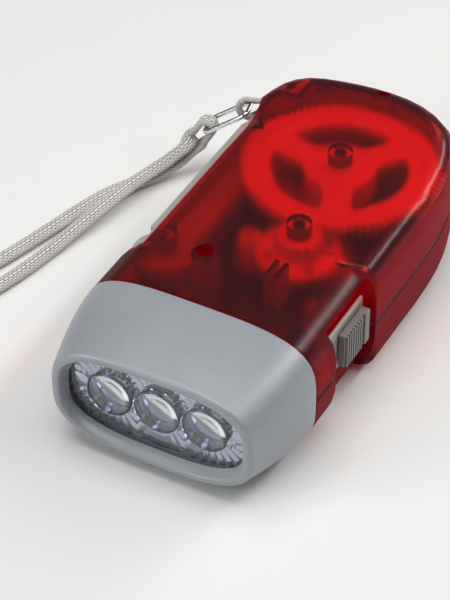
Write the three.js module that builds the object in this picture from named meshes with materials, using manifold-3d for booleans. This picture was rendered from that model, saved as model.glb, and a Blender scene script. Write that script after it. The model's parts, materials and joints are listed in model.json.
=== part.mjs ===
// A pocket torch lit by a small generator, which a squeezed side lever turns through a gear train.
// Sizes are in millimetres. X runs across the body to the switch, Y back from the lamp to the strap, Z up.
// Places along Y are measured from the front rim of the lamp head, and heights from the underside.
import * as THREE from 'three';
import { mergeVertices } from 'three/addons/utils/BufferGeometryUtils.js';
import Module from 'manifold-3d';

const wasm = await Module();
wasm.setup();

// The whole body
const BODY_LENGTH = 102;
const BODY_HALF_WIDTH = 25.2;
const BODY_HEIGHT = 28;
const HEAD_LENGTH = 20.4;
const WALL = 1.6;
const CLEARANCE = 0.3;
const OVERRUN = 2;
const MIDDLE = BODY_HEIGHT / 2;
const HEAD_EXPONENT = 3.5;
const BODY_EXPONENT = 7;
const LEVER_SIDE_EXPONENT = 3.1;
const STEP_Y = 46.4;
const LEVER_STEP_RUN = 1.8;
const STEP_LENGTH = 1.2;
const CROWN_RUN = 2.5;
const LEVEL_SHARES = [0.3, 0.55, 0.75, 0.87, 0.945, 0.985];
const SPINE_END_SHARE = 0.75;

// The tail of the plan outline, from the right side round to the left, as shares of the half width
// and of the length
const TAIL_SHARES = [
  [1, 0.64], [0.992, 0.71], [0.96, 0.788], [0.897, 0.852], [0.806, 0.908], [0.675, 0.949],
  [0.5, 0.977], [0.302, 0.994], [0.103, 1], [-0.099, 0.999], [-0.286, 0.993], [-0.476, 0.983],
  [-0.643, 0.969], [-0.762, 0.947], [-0.845, 0.916], [-0.905, 0.867], [-0.968, 0.788], [-0.996, 0.69],
  [-1, 0.6],
];
const TAIL_STEPS = 22;

// Gear train: tooth sizes, tooth counts and where the axles stand
const GEAR_MODULE = 0.505;
const LEVER_MODULE = 0.8;
const MAIN_TEETH = 80;
const SECOND_PINION_TEETH = 18;
const SECOND_TEETH = 34;
const ROTOR_TEETH = 8;
const SECTOR_TEETH = 96;
const DRIVE_TEETH = 12;
const MAIN_AXLE_X = 1.6;
const MAIN_AXLE_TO_TAIL = 25.6;
const SECOND_BEARING_DEGREES = -82.6;
const ROTOR_BEARING_DEGREES = 184;
const PIVOT_BEARING_DEGREES = 242.4;
const ADDENDUM_SHARE = 0.8;
const DEDENDUM_SHARE = 1.15;
const BACKLASH_SHARE = 0.16;
const FLANK_DEGREES = 20;
const GEAR_GAP = 0.6;
const AXLE_RADIUS = 1;
const AXLE_SIDES = 16;

const MAIN_GEAR_BASE_SHARE = 0.739;
const MAIN_GEAR_THICKNESS = 1.9;
const MAIN_HUB_RADIUS = 3.1;
const MAIN_HUB_RISE = 0.6;
const MAIN_WEB_RECESS = 0.5;
const MAIN_RIM_WIDTH = 3;
const WINDOW_INNER_RADIUS = 7.4;
const WINDOW_OUTER_RADIUS = 14.4;
const WINDOW_CORNER = 1.6;
const WINDOW_COUNT = 3;
const WINDOW_FIRST_DEGREES = 113;
const SPOKE_WIDTH = 6;
const CUP_RADIUS = 7.3;
const CUP_RIM = 0.8;
const RATCHET_TEETH = 12;
const RATCHET_DEPTH = 0.7;
const DRIVE_FACE = 3.6;
const DRIVE_COLLAR_RADIUS = 2.5;
const PAWL_BASE_RADIUS = 3.6;
const PAWL_THICKNESS = 2;
const PAWL_COUNT = 2;
const PAWL_STEPS = 9;

const SECOND_GEAR_THICKNESS = 1.6;
const SECOND_PINION_RISE = 0.3;
const SECOND_DISC_DROP = 1.7;
const SECOND_HOLE_RADIUS = 1.2;
const SECOND_HOLE_COUNT = 4;
const SECOND_HOLE_SHARE = 0.74;

// The generator: rotor, laminated core and coil
const ROTOR_AXLE_RADIUS = 0.6;
const ROTOR_MAGNET_RADIUS = 6;
const ROTOR_MAGNET_BASE_SHARE = 0.175;
const ROTOR_MAGNET_HEIGHT = 7.5;
const ROTOR_SLEEVE_RADIUS = 2.3;
const ROTOR_FLANGE_RADIUS = 4;
const ROTOR_FLANGE_THICKNESS = 0.9;
const ROTOR_PINION_FACE = 3;
const AIR_GAP = 0.8;
const CORE_BASE_SHARE = 0.179;
const CORE_HEIGHT = 3.4;
const CORE_ARM_WIDTH = 3;
const CORE_SHOE_DEPTH = 1.9;
const CORE_POLE_GAP = 7;
const CORE_LEG_WIDTH = 3.4;
const CORE_REACH = 21.2;
const CORE_TIP_REACH = 3.7;
const BOBBIN_WALL = 0.7;
const BOBBIN_FLANGE = 0.8;
const BOBBIN_HALF_WIDTH = 4.4;
const BOBBIN_END_GAP = 1;
const BOBBIN_FLOOR_GAP = 0.7;
const WINDING_CHAMFER = 0.6;
const BOBBIN_LIP = 0.3;

// The squeeze lever, its pivot and its spring
const GRIP_INSET = 0.3;
const GRIP_THICKNESS = 2.2;
const GRIP_RUN = 6.3;
const GRIP_END_GAP = 2.1;
const GRIP_CHAMFER = 0.4;
const LEVER_BASE_SHARE = 0.168;
const LEVER_HEIGHT_SHARE = 0.557;
const FLANGE_THICKNESS = 1.7;
const TOP_FLANGE_WIDTH = 11.6;
const BOTTOM_FLANGE_WIDTH = 6;
const FLANGE_RUN = 3.7;
const FLANGE_END_GAP = 0.8;
const FLANGE_CORNER = 1.6;
const KNUCKLE_RADIUS = 6.5;
const KNUCKLE_WALL = 1.6;
const KNUCKLE_START_DEGREES = 150;
const KNUCKLE_END_DEGREES = 236;
const KNUCKLE_STEPS = 8;
const HUB_RADIUS = 2.8;
const PIVOT_RADIUS = 1.3;
const SECTOR_BASE_SHARE = 0.43;
const SECTOR_FACE = 3;
const SECTOR_INNER_RADIUS = 31;
const SECTOR_LAST_TOOTH = -10;
const SECTOR_FIRST_TOOTH = 2;
const SECTOR_ROOT_DEGREES = 101;
const SECTOR_STEPS = 10;
const RIB_THICKNESS = 1.5;
const RIB_TO_GRIP_END = 13.8;
const SPRING_WIRE_RADIUS = 0.4;
const SPRING_FLANGE_GAP = 0.2;
const SPRING_PITCH = 1.3;
const SPRING_TURNS = 5;
const SPRING_STEPS = 8;
const SPRING_SIDES = 5;
const SPRING_LONG_LEG = 15;
const SPRING_SHORT_LEG = 7.6;
const SPRING_STOP_WIDTH = 1.6;
const SPRING_STOP_DEPTH = 1.8;
const SPRING_STOP_RISE = 1;

// The bay in the left side, where the lever folds in
const BAY_REACH = 7;
const BAY_DEPTH = 4.6;
const BAY_SHOULDER = 3;
const BAY_NOTCH_LENGTH = 3.8;
const BAY_NOTCH_DEPTH = 3.3;
const BAY_TO_TAIL = 11.8;
const BAY_LIP_RUN = 1.8;
const BAY_NOTCH_RUN = 3.4;
const BAY_SWEEP_GAP = 0.5;

// Screw columns, bosses and ribs
const SCREW_FRONT_X = -7;
const SCREW_FRONT_Y = 34.6;
const SCREW_TAIL_X = 0.6;
const SCREW_TO_TAIL = 3.5;
const COLUMN_RADIUS = 2.8;
const WELL_RADIUS = 1.9;
const WELL_TAIL_RADIUS = 1.5;
const WELL_FLOOR_SHARE = 0.607;
const SCREW_HEAD_RADIUS = 1.35;
const SCREW_HEAD_HEIGHT = 1.5;
const SCREW_RADIUS = 0.75;
const SCREW_LENGTH = 10;
const BOSS_RADIUS = 2.6;
const BOSS_RISE = 2.3;
const PIVOT_BOSS_RADIUS = 3.1;
const PIN_SINK = 1.2;
const PRESS_RIB_COUNT = 2;
const PRESS_RIB_START = 5.4;
const PRESS_RIB_SET_BACK = 3;
const PRESS_RIB_PITCH = 2;
const PRESS_RIB_WIDTH = 0.9;
const PRESS_RIB_LENGTH = 5;
const PRESS_RIB_GAP = 0.6;
const POST_WIDTH = 2;
const COLUMN_SIDES = 24;

// The lamp head
const RIM_HALF_WIDTH = 21.6;
const RIM_HEIGHT_SHARE = 0.836;
const RIM_EXPONENT = 3;
const RIM_ROUND = 0.9;
const RIM_WIDTH = 1.7;
const LIP_LENGTH = 2.5;
const LIP_TAPER = 0.9;
const HEAD_WALL = 1.9;
const HEAD_SIDES = 36;
const HEAD_STATION_SHARES = [0.04, 0.1, 0.25, 0.45, 0.65, 0.85, 1];
const TONGUE_HALF_WIDTH = 8;
const TONGUE_LENGTH = 4;
const TONGUE_ROOT = 4.4;
const TONGUE_THICKNESS = 1.4;

const LENS_THICKNESS = 1.4;
const DOME_RADIUS = 4.9;
const DOME_RISE = 1.7;
const LAMP_SPACING = 10.4;
const LAMP_COUNT = 3;
const DOME_STEPS = 5;
const REFLECTOR_GAP = 0.4;
const REFLECTOR_DEPTH = 7.4;
const CUP_MOUTH_RADIUS = 4.8;
const CUP_THROAT_RADIUS = 2.8;
const CUP_MOUTH_WALL = 0.4;
const CUP_STEPS = 5;
const REFLECTOR_POST_RADIUS = 1.2;
const REFLECTOR_POST_LENGTH = 1.5;
const LED_RADIUS = 2.4;
const LED_LENGTH = 6.2;
const LED_FLANGE_RADIUS = 2.7;
const LED_FLANGE_HEIGHT = 0.9;
const LED_STEPS = 4;
const LED_SIDES = 16;
const BOARD_THICKNESS = 1.2;
const LED_BOARD_HALF_WIDTH = 16.5;
const LED_BOARD_HALF_HEIGHT = 5.6;

// Battery and circuit board
const BATTERY_RADIUS = 7.3;
const BATTERY_LENGTH = 13;
const BATTERY_Y = 31.6;
const BATTERY_END_GAP = 0.5;
const BATTERY_FLOOR_GAP = 1.1;
const BATTERY_CAP_RADIUS = 4.2;
const BATTERY_CAP_RISE = 0.7;
const CRADLE_THICKNESS = 1.5;
const CRADLE_HEIGHT = 4.4;
const CRADLE_HALF_WIDTH = 6.4;
const CRADLE_INSET = 2;
const CIRCUIT_X = -16.4;
const CIRCUIT_Y = 22.6;
const CIRCUIT_WIDTH = 13.4;
const CIRCUIT_DEPTH = 6.9;
const CIRCUIT_BASE_SHARE = 0.296;
const CAPACITOR_RADIUS = 2.4;
const CAPACITOR_HEIGHT = 6;
const CHIP_WIDTH = 4;
const CHIP_HEIGHT = 1.4;

// The slide switch on the right side
const RECESS_FRONT = 28.4;
const RECESS_BACK = 45.6;
const RECESS_FACE = 21.3;
const RECESS_TOP_SHARE = 0.871;
const PLATE_THICKNESS = 0.9;
const PLATE_FRONT = 30.8;
const PLATE_BACK = 45.2;
const PLATE_BASE_SHARE = 0.343;
const PLATE_HEIGHT = 10.8;
const PLATE_CHAMFER = 0.3;
const KNOB_LENGTH = 10;
const KNOB_BACK_GAP = 1.3;
const KNOB_HEIGHT = 7.8;
const KNOB_RISE = 1.3;
const KNOB_RIB_COUNT = 7;
const KNOB_RIB_PITCH = 1;
const KNOB_RIB_WIDTH = 0.55;
const KNOB_RIB_RISE = 0.6;
const KNOB_BLOCK_LENGTH = 2;
const KNOB_TRAVEL = 2.4;
const STEM_LENGTH = 3;
const STEM_HEIGHT = 2.4;
const SWITCH_DEPTH = 4.6;
const SWITCH_LENGTH = 11.4;
const SWITCH_HEIGHT = 7;
const SWITCH_SLOT_DEPTH = 1.6;

// The wrist strap: pin, tether, link, hitch and cord
const STRAP_PIN_TO_SIDE = 6.9;
const STRAP_PIN_TO_TAIL = 7.7;
const STRAP_PIN_RADIUS = 1.1;
const STRAP_PIN_GRIP = 0.5;
const STRAP_HEIGHT_SHARE = 0.7965;
const POCKET_HALF_LENGTH = 4.2;
const POCKET_BASE_SHARE = 0.62;
const POCKET_HEIGHT_SHARE = 0.257;
const POCKET_FLOOR = 2;
const POCKET_DEPTH = 3;
const POCKET_WALL = 1.4;
const POCKET_SPAN = 10.8;
const TETHER_RADIUS = 0.85;
const TETHER_HALF_WIDTH = 2.25;
const TETHER_LENGTH = 14.7;
const TETHER_TWIST_DEGREES = 90;
const TETHER_BEARING_DEGREES = 203.8;
const TETHER_DROP_DEGREES = 21.4;
const TETHER_SIDES = 8;
const RING_STEPS = 24;
const LINK_RADIUS = 0.55;
const LINK_HALF_WIDTH = 2.7;
const LINK_EXPONENT = 6;
const LINK_LENGTH = 11.6;
const LINK_DROP_DEGREES = 36;
const LINK_BEARING_DEGREES = 192;
const LINK_SIDES = 8;
const CORD_WIDTH = 3.6;
const CORD_THICKNESS = 1.5;
const CORD_SIDES = 8;
const CORD_STEPS = 54;
const HITCH_LEG = 2.2;
const HITCH_DROP_DEGREES = 60;
const HITCH_STEPS = 8;

// Where the strap's cord runs, from the hitch's upper leg out, round and back to its lower leg
const CORD_ROUTE = [
  [-39.7, 85.3, 7.4], [-41.8, 82.6, 5.1], [-43.6, 79.8, 3.75], [-45.0, 77.0, 3.1],
  [-46.0, 74.0, 2.85], [-46.8, 70.4, 2.75], [-47.4, 66.2, 2.7], [-48.1, 62.1, 2.55],
  [-48.9, 58.3, 2.2], [-49.8, 54.7, 1.6], [-51.4, 47.4, 0.85], [-52.9, 39.6, 0.85],
  [-54.7, 32.7, 0.85], [-57.0, 25.0, 0.85], [-58.9, 17.0, 0.85], [-60.4, 8.6, 0.85],
  [-62.2, 0.2, 0.85], [-65.2, -5.6, 0.85], [-69.6, -4.6, 0.85], [-71.6, 2.0, 0.85],
  [-70.0, 10.5, 0.85], [-66.4, 20.5, 0.85], [-62.2, 30.5, 0.85], [-59.0, 39.6, 0.85],
  [-57.0, 46.3, 0.85], [-55.1, 53.3, 0.85], [-53.2, 60.8, 0.85], [-51.2, 67.7, 0.85],
  [-49.4, 71.8, 0.9], [-47.8, 74.4, 1], [-46.2, 76.5, 1.2], [-44.7, 78.6, 1.5],
  [-43.0, 80.9, 2.05], [-40.9, 83.7, 3.35], [-38.9, 86.5, 5.5],
];

const PLASTIC_ROUGHNESS = 0.35;
const materials = {
  redShell: new THREE.MeshStandardMaterial({
    color: '#8c1420', roughness: 0.12, metalness: 0, transparent: true, opacity: 0.55,
  }),
  greyPlastic: new THREE.MeshStandardMaterial({ color: '#a9adb1', roughness: PLASTIC_ROUGHNESS, metalness: 0 }),
  clearPlastic: new THREE.MeshStandardMaterial({
    color: '#eef2f4', roughness: 0.05, metalness: 0, transparent: true, opacity: 0.4,
  }),
  chrome: new THREE.MeshStandardMaterial({ color: '#d9dcdf', roughness: 0.08, metalness: 1 }),
  steel: new THREE.MeshStandardMaterial({ color: '#b9bcc0', roughness: 0.25, metalness: 1 }),
  whitePlastic: new THREE.MeshStandardMaterial({ color: '#e6e3dc', roughness: PLASTIC_ROUGHNESS, metalness: 0 }),
  magnet: new THREE.MeshStandardMaterial({ color: '#2d2c2e', roughness: 0.5, metalness: 0.2 }),
  copper: new THREE.MeshStandardMaterial({ color: '#a8552c', roughness: 0.35, metalness: 0.8 }),
  board: new THREE.MeshStandardMaterial({ color: '#2f5a3a', roughness: 0.5, metalness: 0 }),
  wrap: new THREE.MeshStandardMaterial({ color: '#3a4f78', roughness: 0.4, metalness: 0 }),
  braid: new THREE.MeshStandardMaterial({ color: '#cfcfce', roughness: 0.9, metalness: 0 }),
};

// Shapes and solids

const radians = THREE.MathUtils.degToRad;

function pointFrom(origin, distance, degrees) {
  return new THREE.Vector2(
    origin.x + distance * Math.cos(radians(degrees)),
    origin.y + distance * Math.sin(radians(degrees)),
  );
}

function weld(geometry) {
  const plain = geometry.clone();
  plain.deleteAttribute('normal');
  plain.deleteAttribute('uv');
  return mergeVertices(plain);
}

function toSolid(geometry) {
  const welded = weld(geometry);
  const vertProperties = Float32Array.from(welded.attributes.position.array);
  const triVerts = [];
  let volume = 0;
  const corners = [new THREE.Vector3(), new THREE.Vector3(), new THREE.Vector3()];
  for (let i = 0; i < welded.index.count; i += 3) {
    const face = [0, 1, 2].map((k) => welded.index.getX(i + k));
    if (face[0] === face[1] || face[1] === face[2] || face[2] === face[0]) continue;
    face.forEach((vertex, k) => corners[k].fromBufferAttribute(welded.attributes.position, vertex));
    volume += corners[0].dot(corners[1].clone().cross(corners[2]));
    triVerts.push(...face);
  }
  if (volume < 0) triVerts.reverse();
  return new wasm.Manifold(new wasm.Mesh({ numProp: 3, vertProperties, triVerts: Uint32Array.from(triVerts) }));
}

function toGeometry(solid) {
  const mesh = solid.getMesh();
  const geometry = new THREE.BufferGeometry();
  geometry.setAttribute('position', new THREE.BufferAttribute(Float32Array.from(mesh.vertProperties), 3));
  geometry.setIndex(Array.from(mesh.triVerts));
  geometry.computeVertexNormals();
  return geometry;
}

function prismGeometry(shape, base, top, chamfer = 0) {
  const geometry = new THREE.ExtrudeGeometry(shape, {
    depth: top - base - 2 * chamfer,
    bevelEnabled: chamfer > 0,
    bevelThickness: chamfer,
    bevelSize: chamfer,
    bevelOffset: -chamfer,
    bevelSegments: 1,
    curveSegments: COLUMN_SIDES / 2,
  });
  return geometry.translate(0, 0, base + chamfer);
}

function prism(shape, base, top, chamfer = 0) {
  return toSolid(prismGeometry(shape, base, top, chamfer));
}

function polygonPrism(points, base, top, chamfer = 0) {
  return prism(new THREE.Shape(points), base, top, chamfer);
}

function cylinder(centre, radius, base, top, sides = COLUMN_SIDES) {
  const geometry = new THREE.CylinderGeometry(radius, radius, top - base, sides);
  geometry.rotateX(Math.PI / 2).translate(centre.x, centre.y, (base + top) / 2);
  return toSolid(geometry);
}

function box(x0, x1, y0, y1, z0, z1) {
  const geometry = new THREE.BoxGeometry(x1 - x0, y1 - y0, z1 - z0);
  return toSolid(geometry.translate((x0 + x1) / 2, (y0 + y1) / 2, (z0 + z1) / 2));
}

// A solid turned about a line along Y, from a profile of [radius, place along Y]
function turnedAlongY(profile, x, y, z, sides) {
  const points = profile.map(([radius, place]) => new THREE.Vector2(radius, place));
  return toSolid(new THREE.LatheGeometry(points, sides).translate(x, y, z));
}

// A closed skin through rings of points, each ring anticlockwise as seen from the last ring's side
function loft(rings) {
  const count = rings[0].length;
  const positions = rings.flat().flatMap((point) => [point.x, point.y, point.z]);
  const index = [];
  for (let level = 0; level + 1 < rings.length; level += 1) {
    for (let j = 0; j < count; j += 1) {
      const a = level * count + j;
      const b = level * count + ((j + 1) % count);
      index.push(a, b, b + count, a, b + count, a + count);
    }
  }
  const last = (rings.length - 1) * count;
  const flat = rings[0].map((point) => new THREE.Vector2(point.x, point.y));
  THREE.ShapeUtils.triangulateShape(flat, []).forEach(([a, b, c]) => {
    const turn = flat[b].clone().sub(flat[a]).cross(flat[c].clone().sub(flat[a]));
    const [first, second, third] = turn > 0 ? [a, b, c] : [a, c, b];
    index.push(first, third, second, last + first, last + second, last + third);
  });
  const geometry = new THREE.BufferGeometry();
  geometry.setAttribute('position', new THREE.Float32BufferAttribute(positions, 3));
  geometry.setIndex(index);
  return geometry;
}

// A tube round a closed path, from its points and, at each one, the direction square to its plane
function ringTube(path, radius, sides) {
  const count = path.length;
  const positions = [];
  const index = [];
  path.forEach(({ point, across }, i) => {
    const along = path[(i + 1) % count].point.clone().sub(path[(i + count - 1) % count].point).normalize();
    const side = along.clone().cross(across).normalize();
    const square = side.clone().cross(along);
    for (let j = 0; j < sides; j += 1) {
      const angle = (2 * Math.PI * j) / sides;
      const ringPoint = point.clone()
        .addScaledVector(side, radius * Math.cos(angle))
        .addScaledVector(square, radius * Math.sin(angle));
      positions.push(ringPoint.x, ringPoint.y, ringPoint.z);
    }
  });
  for (let i = 0; i < count; i += 1) {
    for (let j = 0; j < sides; j += 1) {
      const a = i * sides + j;
      const b = i * sides + ((j + 1) % sides);
      const c = ((i + 1) % count) * sides + j;
      const d = ((i + 1) % count) * sides + ((j + 1) % sides);
      index.push(a, b, d, a, d, c);
    }
  }
  const geometry = new THREE.BufferGeometry();
  geometry.setAttribute('position', new THREE.Float32BufferAttribute(positions, 3));
  geometry.setIndex(index);
  return toSolid(geometry);
}

// The path of a slot-shaped loop that turns about its own length by a given twist
function twistedLoop(start, along, sideways, length, halfWidth, twist, steps) {
  const path = [];
  for (let i = 0; i < steps; i += 1) {
    const angle = (2 * Math.PI * (i + 0.5)) / steps;
    const centre = Math.cos(angle) > 0 ? length - halfWidth : halfWidth;
    const place = centre + halfWidth * Math.cos(angle);
    const turn = twist * THREE.MathUtils.smoothstep(place, halfWidth, length - halfWidth);
    const side = sideways.clone().applyAxisAngle(along, turn);
    path.push({
      point: start.clone().addScaledVector(along, place).addScaledVector(side, halfWidth * Math.sin(angle)),
      across: along.clone().cross(side),
    });
  }
  return path;
}

function superellipse(halfWidth, halfHeight, exponent, sides) {
  const points = [];
  for (let i = 0; i < sides; i += 1) {
    const angle = (2 * Math.PI * (i + 0.5)) / sides;
    const x = Math.sign(Math.cos(angle)) * Math.abs(Math.cos(angle)) ** (2 / exponent);
    const y = Math.sign(Math.sin(angle)) * Math.abs(Math.sin(angle)) ** (2 / exponent);
    points.push(new THREE.Vector2(halfWidth * x, halfHeight * y));
  }
  return points;
}

const group = new THREE.Group();
group.position.y = -BODY_LENGTH / 2;

function addPiece(name, solid, material) {
  const mesh = new THREE.Mesh(toGeometry(solid), material);
  mesh.name = name;
  group.add(mesh);
}

// Axle places, each set off from its neighbour by the two gears' pitch radii

function pitchRadius(teeth, module) {
  return (teeth * module) / 2;
}

const mainAxle = new THREE.Vector2(MAIN_AXLE_X, BODY_LENGTH - MAIN_AXLE_TO_TAIL);
const secondAxle = pointFrom(
  mainAxle,
  pitchRadius(MAIN_TEETH + SECOND_PINION_TEETH, GEAR_MODULE),
  SECOND_BEARING_DEGREES,
);
const rotorAxle = pointFrom(
  secondAxle,
  pitchRadius(SECOND_TEETH + ROTOR_TEETH, GEAR_MODULE),
  ROTOR_BEARING_DEGREES,
);
const pivot = pointFrom(
  mainAxle,
  pitchRadius(SECTOR_TEETH + DRIVE_TEETH, LEVER_MODULE),
  PIVOT_BEARING_DEGREES,
);
const mainTip = pitchRadius(MAIN_TEETH, GEAR_MODULE) + GEAR_MODULE * ADDENDUM_SHARE;

// Heights as shares of the body's, and places set off from the pivot, the tail and the switch
const mainGearBase = MAIN_GEAR_BASE_SHARE * BODY_HEIGHT;
const magnetBase = ROTOR_MAGNET_BASE_SHARE * BODY_HEIGHT;
const coreBase = CORE_BASE_SHARE * BODY_HEIGHT;
const leverBase = LEVER_BASE_SHARE * BODY_HEIGHT;
const leverHeight = LEVER_HEIGHT_SHARE * BODY_HEIGHT;
const sectorBase = SECTOR_BASE_SHARE * BODY_HEIGHT;
const wellFloor = WELL_FLOOR_SHARE * BODY_HEIGHT;
const circuitBase = CIRCUIT_BASE_SHARE * BODY_HEIGHT;
const recessTop = RECESS_TOP_SHARE * BODY_HEIGHT;
const plateBase = PLATE_BASE_SHARE * BODY_HEIGHT;
const pocketBase = POCKET_BASE_SHARE * BODY_HEIGHT;
const pocketHeight = POCKET_HEIGHT_SHARE * BODY_HEIGHT;
const rimHalfHeight = RIM_HEIGHT_SHARE * MIDDLE;
const springBase = leverBase + FLANGE_THICKNESS + SPRING_FLANGE_GAP + SPRING_WIRE_RADIUS;
const bayFront = pivot.y - BAY_REACH;
const bayEnd = BODY_LENGTH - BAY_TO_TAIL;
const bayWindowEnd = bayEnd - BAY_LIP_RUN;
const bayNotchEnd = bayEnd - BAY_NOTCH_RUN;
const bayNotchStart = bayNotchEnd - BAY_NOTCH_LENGTH;
const leverStepY = bayFront + LEVER_STEP_RUN;
const gripStart = pivot.y + GRIP_RUN;
const gripEnd = bayWindowEnd - GRIP_END_GAP;
const flangeStart = pivot.y + FLANGE_RUN;
const ribY = gripEnd - RIB_TO_GRIP_END;
const switchOuter = RECESS_FACE - WALL - CLEARANCE;
const batteryX = switchOuter - SWITCH_DEPTH - BATTERY_END_GAP - BATTERY_CAP_RISE - BATTERY_LENGTH;
const mainGearTop = mainGearBase + MAIN_GEAR_THICKNESS;
const mainHubTop = mainGearTop + MAIN_HUB_RISE;
const secondDiscTop = mainGearBase - SECOND_DISC_DROP;
const secondDiscBase = secondDiscTop - SECOND_GEAR_THICKNESS;
const secondTop = mainGearTop + SECOND_PINION_RISE;
const leverTop = leverBase + leverHeight;
const bayFloor = leverBase - CLEARANCE;
const bayRoof = leverTop + CLEARANCE;
const bayX = BAY_DEPTH - BODY_HALF_WIDTH;
const screwFront = new THREE.Vector2(SCREW_FRONT_X, SCREW_FRONT_Y);
const screwTail = new THREE.Vector2(SCREW_TAIL_X, BODY_LENGTH - SCREW_TO_TAIL);
const strapPin = new THREE.Vector2(STRAP_PIN_TO_SIDE - BODY_HALF_WIDTH, BODY_LENGTH - STRAP_PIN_TO_TAIL);

// Teeth: four corners each, with straight flanks and room for backlash

function toothCorners(centre, teeth, module, degrees) {
  const pitch = pitchRadius(teeth, module);
  const tip = pitch + module * ADDENDUM_SHARE;
  const root = pitch - module * DEDENDUM_SHARE;
  const halfPitch = (360 / teeth / 4) * (1 - BACKLASH_SHARE);
  const slope = Math.tan(radians(FLANK_DEGREES));
  const halfTip = halfPitch - THREE.MathUtils.radToDeg(((tip - pitch) * slope) / pitch);
  const halfRoot = halfPitch + THREE.MathUtils.radToDeg(((pitch - root) * slope) / pitch);
  return [
    pointFrom(centre, root, degrees - halfRoot),
    pointFrom(centre, tip, degrees - halfTip),
    pointFrom(centre, tip, degrees + halfTip),
    pointFrom(centre, root, degrees + halfRoot),
  ];
}

function gearShape(centre, teeth, module, firstDegrees) {
  const points = [];
  for (let i = 0; i < teeth; i += 1) {
    points.push(...toothCorners(centre, teeth, module, firstDegrees + (360 * i) / teeth));
  }
  return new THREE.Shape(points);
}

function circleHole(centre, radius) {
  return new THREE.Path().absarc(centre.x, centre.y, radius, 0, 2 * Math.PI, true);
}

// A window between two spokes: arcs inside and out, sides parallel to the spokes, rounded corners
function windowHole(centre, middleDegrees) {
  const halfGap = 180 / WINDOW_COUNT;
  const edge = (radius, side) => pointFrom(
    centre,
    radius,
    middleDegrees + side * (halfGap - THREE.MathUtils.radToDeg(Math.asin(SPOKE_WIDTH / 2 / radius))),
  );
  const arcEnd = (radius, side) => pointFrom(
    centre,
    radius,
    middleDegrees + side * (halfGap - THREE.MathUtils.radToDeg(Math.asin((SPOKE_WIDTH / 2 + WINDOW_CORNER) / radius))),
  );
  const bearing = (point) => Math.atan2(point.y - centre.y, point.x - centre.x);
  const outerStart = arcEnd(WINDOW_OUTER_RADIUS, -1);
  const outerEnd = arcEnd(WINDOW_OUTER_RADIUS, 1);
  const innerStart = arcEnd(WINDOW_INNER_RADIUS, -1);
  const innerEnd = arcEnd(WINDOW_INNER_RADIUS, 1);
  const path = new THREE.Path();
  path.absarc(centre.x, centre.y, WINDOW_OUTER_RADIUS, bearing(outerStart), bearing(outerEnd), false);
  [
    [edge(WINDOW_OUTER_RADIUS, 1), edge(WINDOW_OUTER_RADIUS - WINDOW_CORNER, 1)],
    [edge(WINDOW_INNER_RADIUS, 1), innerEnd, edge(WINDOW_INNER_RADIUS + WINDOW_CORNER, 1)],
  ].forEach(([corner, end, start]) => {
    if (start) path.lineTo(start.x, start.y);
    path.quadraticCurveTo(corner.x, corner.y, end.x, end.y);
  });
  path.absarc(centre.x, centre.y, WINDOW_INNER_RADIUS, bearing(innerEnd), bearing(innerStart), true);
  [
    [edge(WINDOW_INNER_RADIUS, -1), edge(WINDOW_INNER_RADIUS + WINDOW_CORNER, -1)],
    [edge(WINDOW_OUTER_RADIUS, -1), outerStart, edge(WINDOW_OUTER_RADIUS - WINDOW_CORNER, -1)],
  ].forEach(([corner, end, start]) => {
    if (start) path.lineTo(start.x, start.y);
    path.quadraticCurveTo(corner.x, corner.y, end.x, end.y);
  });
  return path;
}

// The housing: one closed form, thinned by a wall for its hollow, then cut at the parting line

const bodyOutline = [];
const sideStations = (step) => [
  HEAD_LENGTH / 2, HEAD_LENGTH, (HEAD_LENGTH + step) / 2, step - STEP_LENGTH, step,
];
sideStations(STEP_Y).forEach((y) => bodyOutline.push(new THREE.Vector2(BODY_HALF_WIDTH, y)));
const tailCurve = new THREE.SplineCurve(
  TAIL_SHARES.map(([x, y]) => new THREE.Vector2(x * BODY_HALF_WIDTH, y * BODY_LENGTH)),
);
bodyOutline.push(...tailCurve.getPoints(TAIL_STEPS));
sideStations(leverStepY).reverse()
  .forEach((y) => bodyOutline.push(new THREE.Vector2(-BODY_HALF_WIDTH, y)));

function sideInset(share, exponent) {
  return BODY_HALF_WIDTH * (1 - (1 - share ** exponent) ** (1 / exponent));
}

// How high the outside stands at a distance from the centreline
function crownAt(reach, exponent) {
  const share = Math.min(reach / BODY_HALF_WIDTH, 1);
  return MIDDLE * (1 + (1 - share ** exponent) ** (1 / exponent));
}

// The sides are rounder by the head, and on the lever's side as far as the notch in its bay
function sideExponent(point) {
  if (point.y < (point.x > 0 ? STEP_Y : leverStepY)) return HEAD_EXPONENT;
  return point.x < 0 && point.y < bayNotchStart ? LEVER_SIDE_EXPONENT : BODY_EXPONENT;
}

function housing(wall) {
  const lastShare = LEVEL_SHARES[LEVEL_SHARES.length - 1];
  const levels = [0, ...LEVEL_SHARES, 1];
  const shares = [...levels.slice(1).reverse().map((share) => -share), ...levels];
  const rings = shares.map((share) => bodyOutline.map((point) => {
    const exponent = sideExponent(point);
    const height = Math.abs(share);
    const crown = height === 1 ? CROWN_RUN : 0;
    const inset = sideInset(Math.min(height, lastShare), exponent) + crown + wall;
    const spine = new THREE.Vector2(0, Math.min(point.y, SPINE_END_SHARE * BODY_LENGTH));
    const inward = spine.sub(point).normalize();
    return new THREE.Vector3(
      point.x + inward.x * inset,
      point.y + inward.y * inset,
      MIDDLE + share * (MIDDLE - wall),
    );
  }));
  return toSolid(loft(rings));
}

const farLeft = -BODY_HALF_WIDTH - OVERRUN;
const farRight = BODY_HALF_WIDTH + OVERRUN;
const belowBody = -OVERRUN;
const aboveBody = BODY_HEIGHT + OVERRUN;

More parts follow.
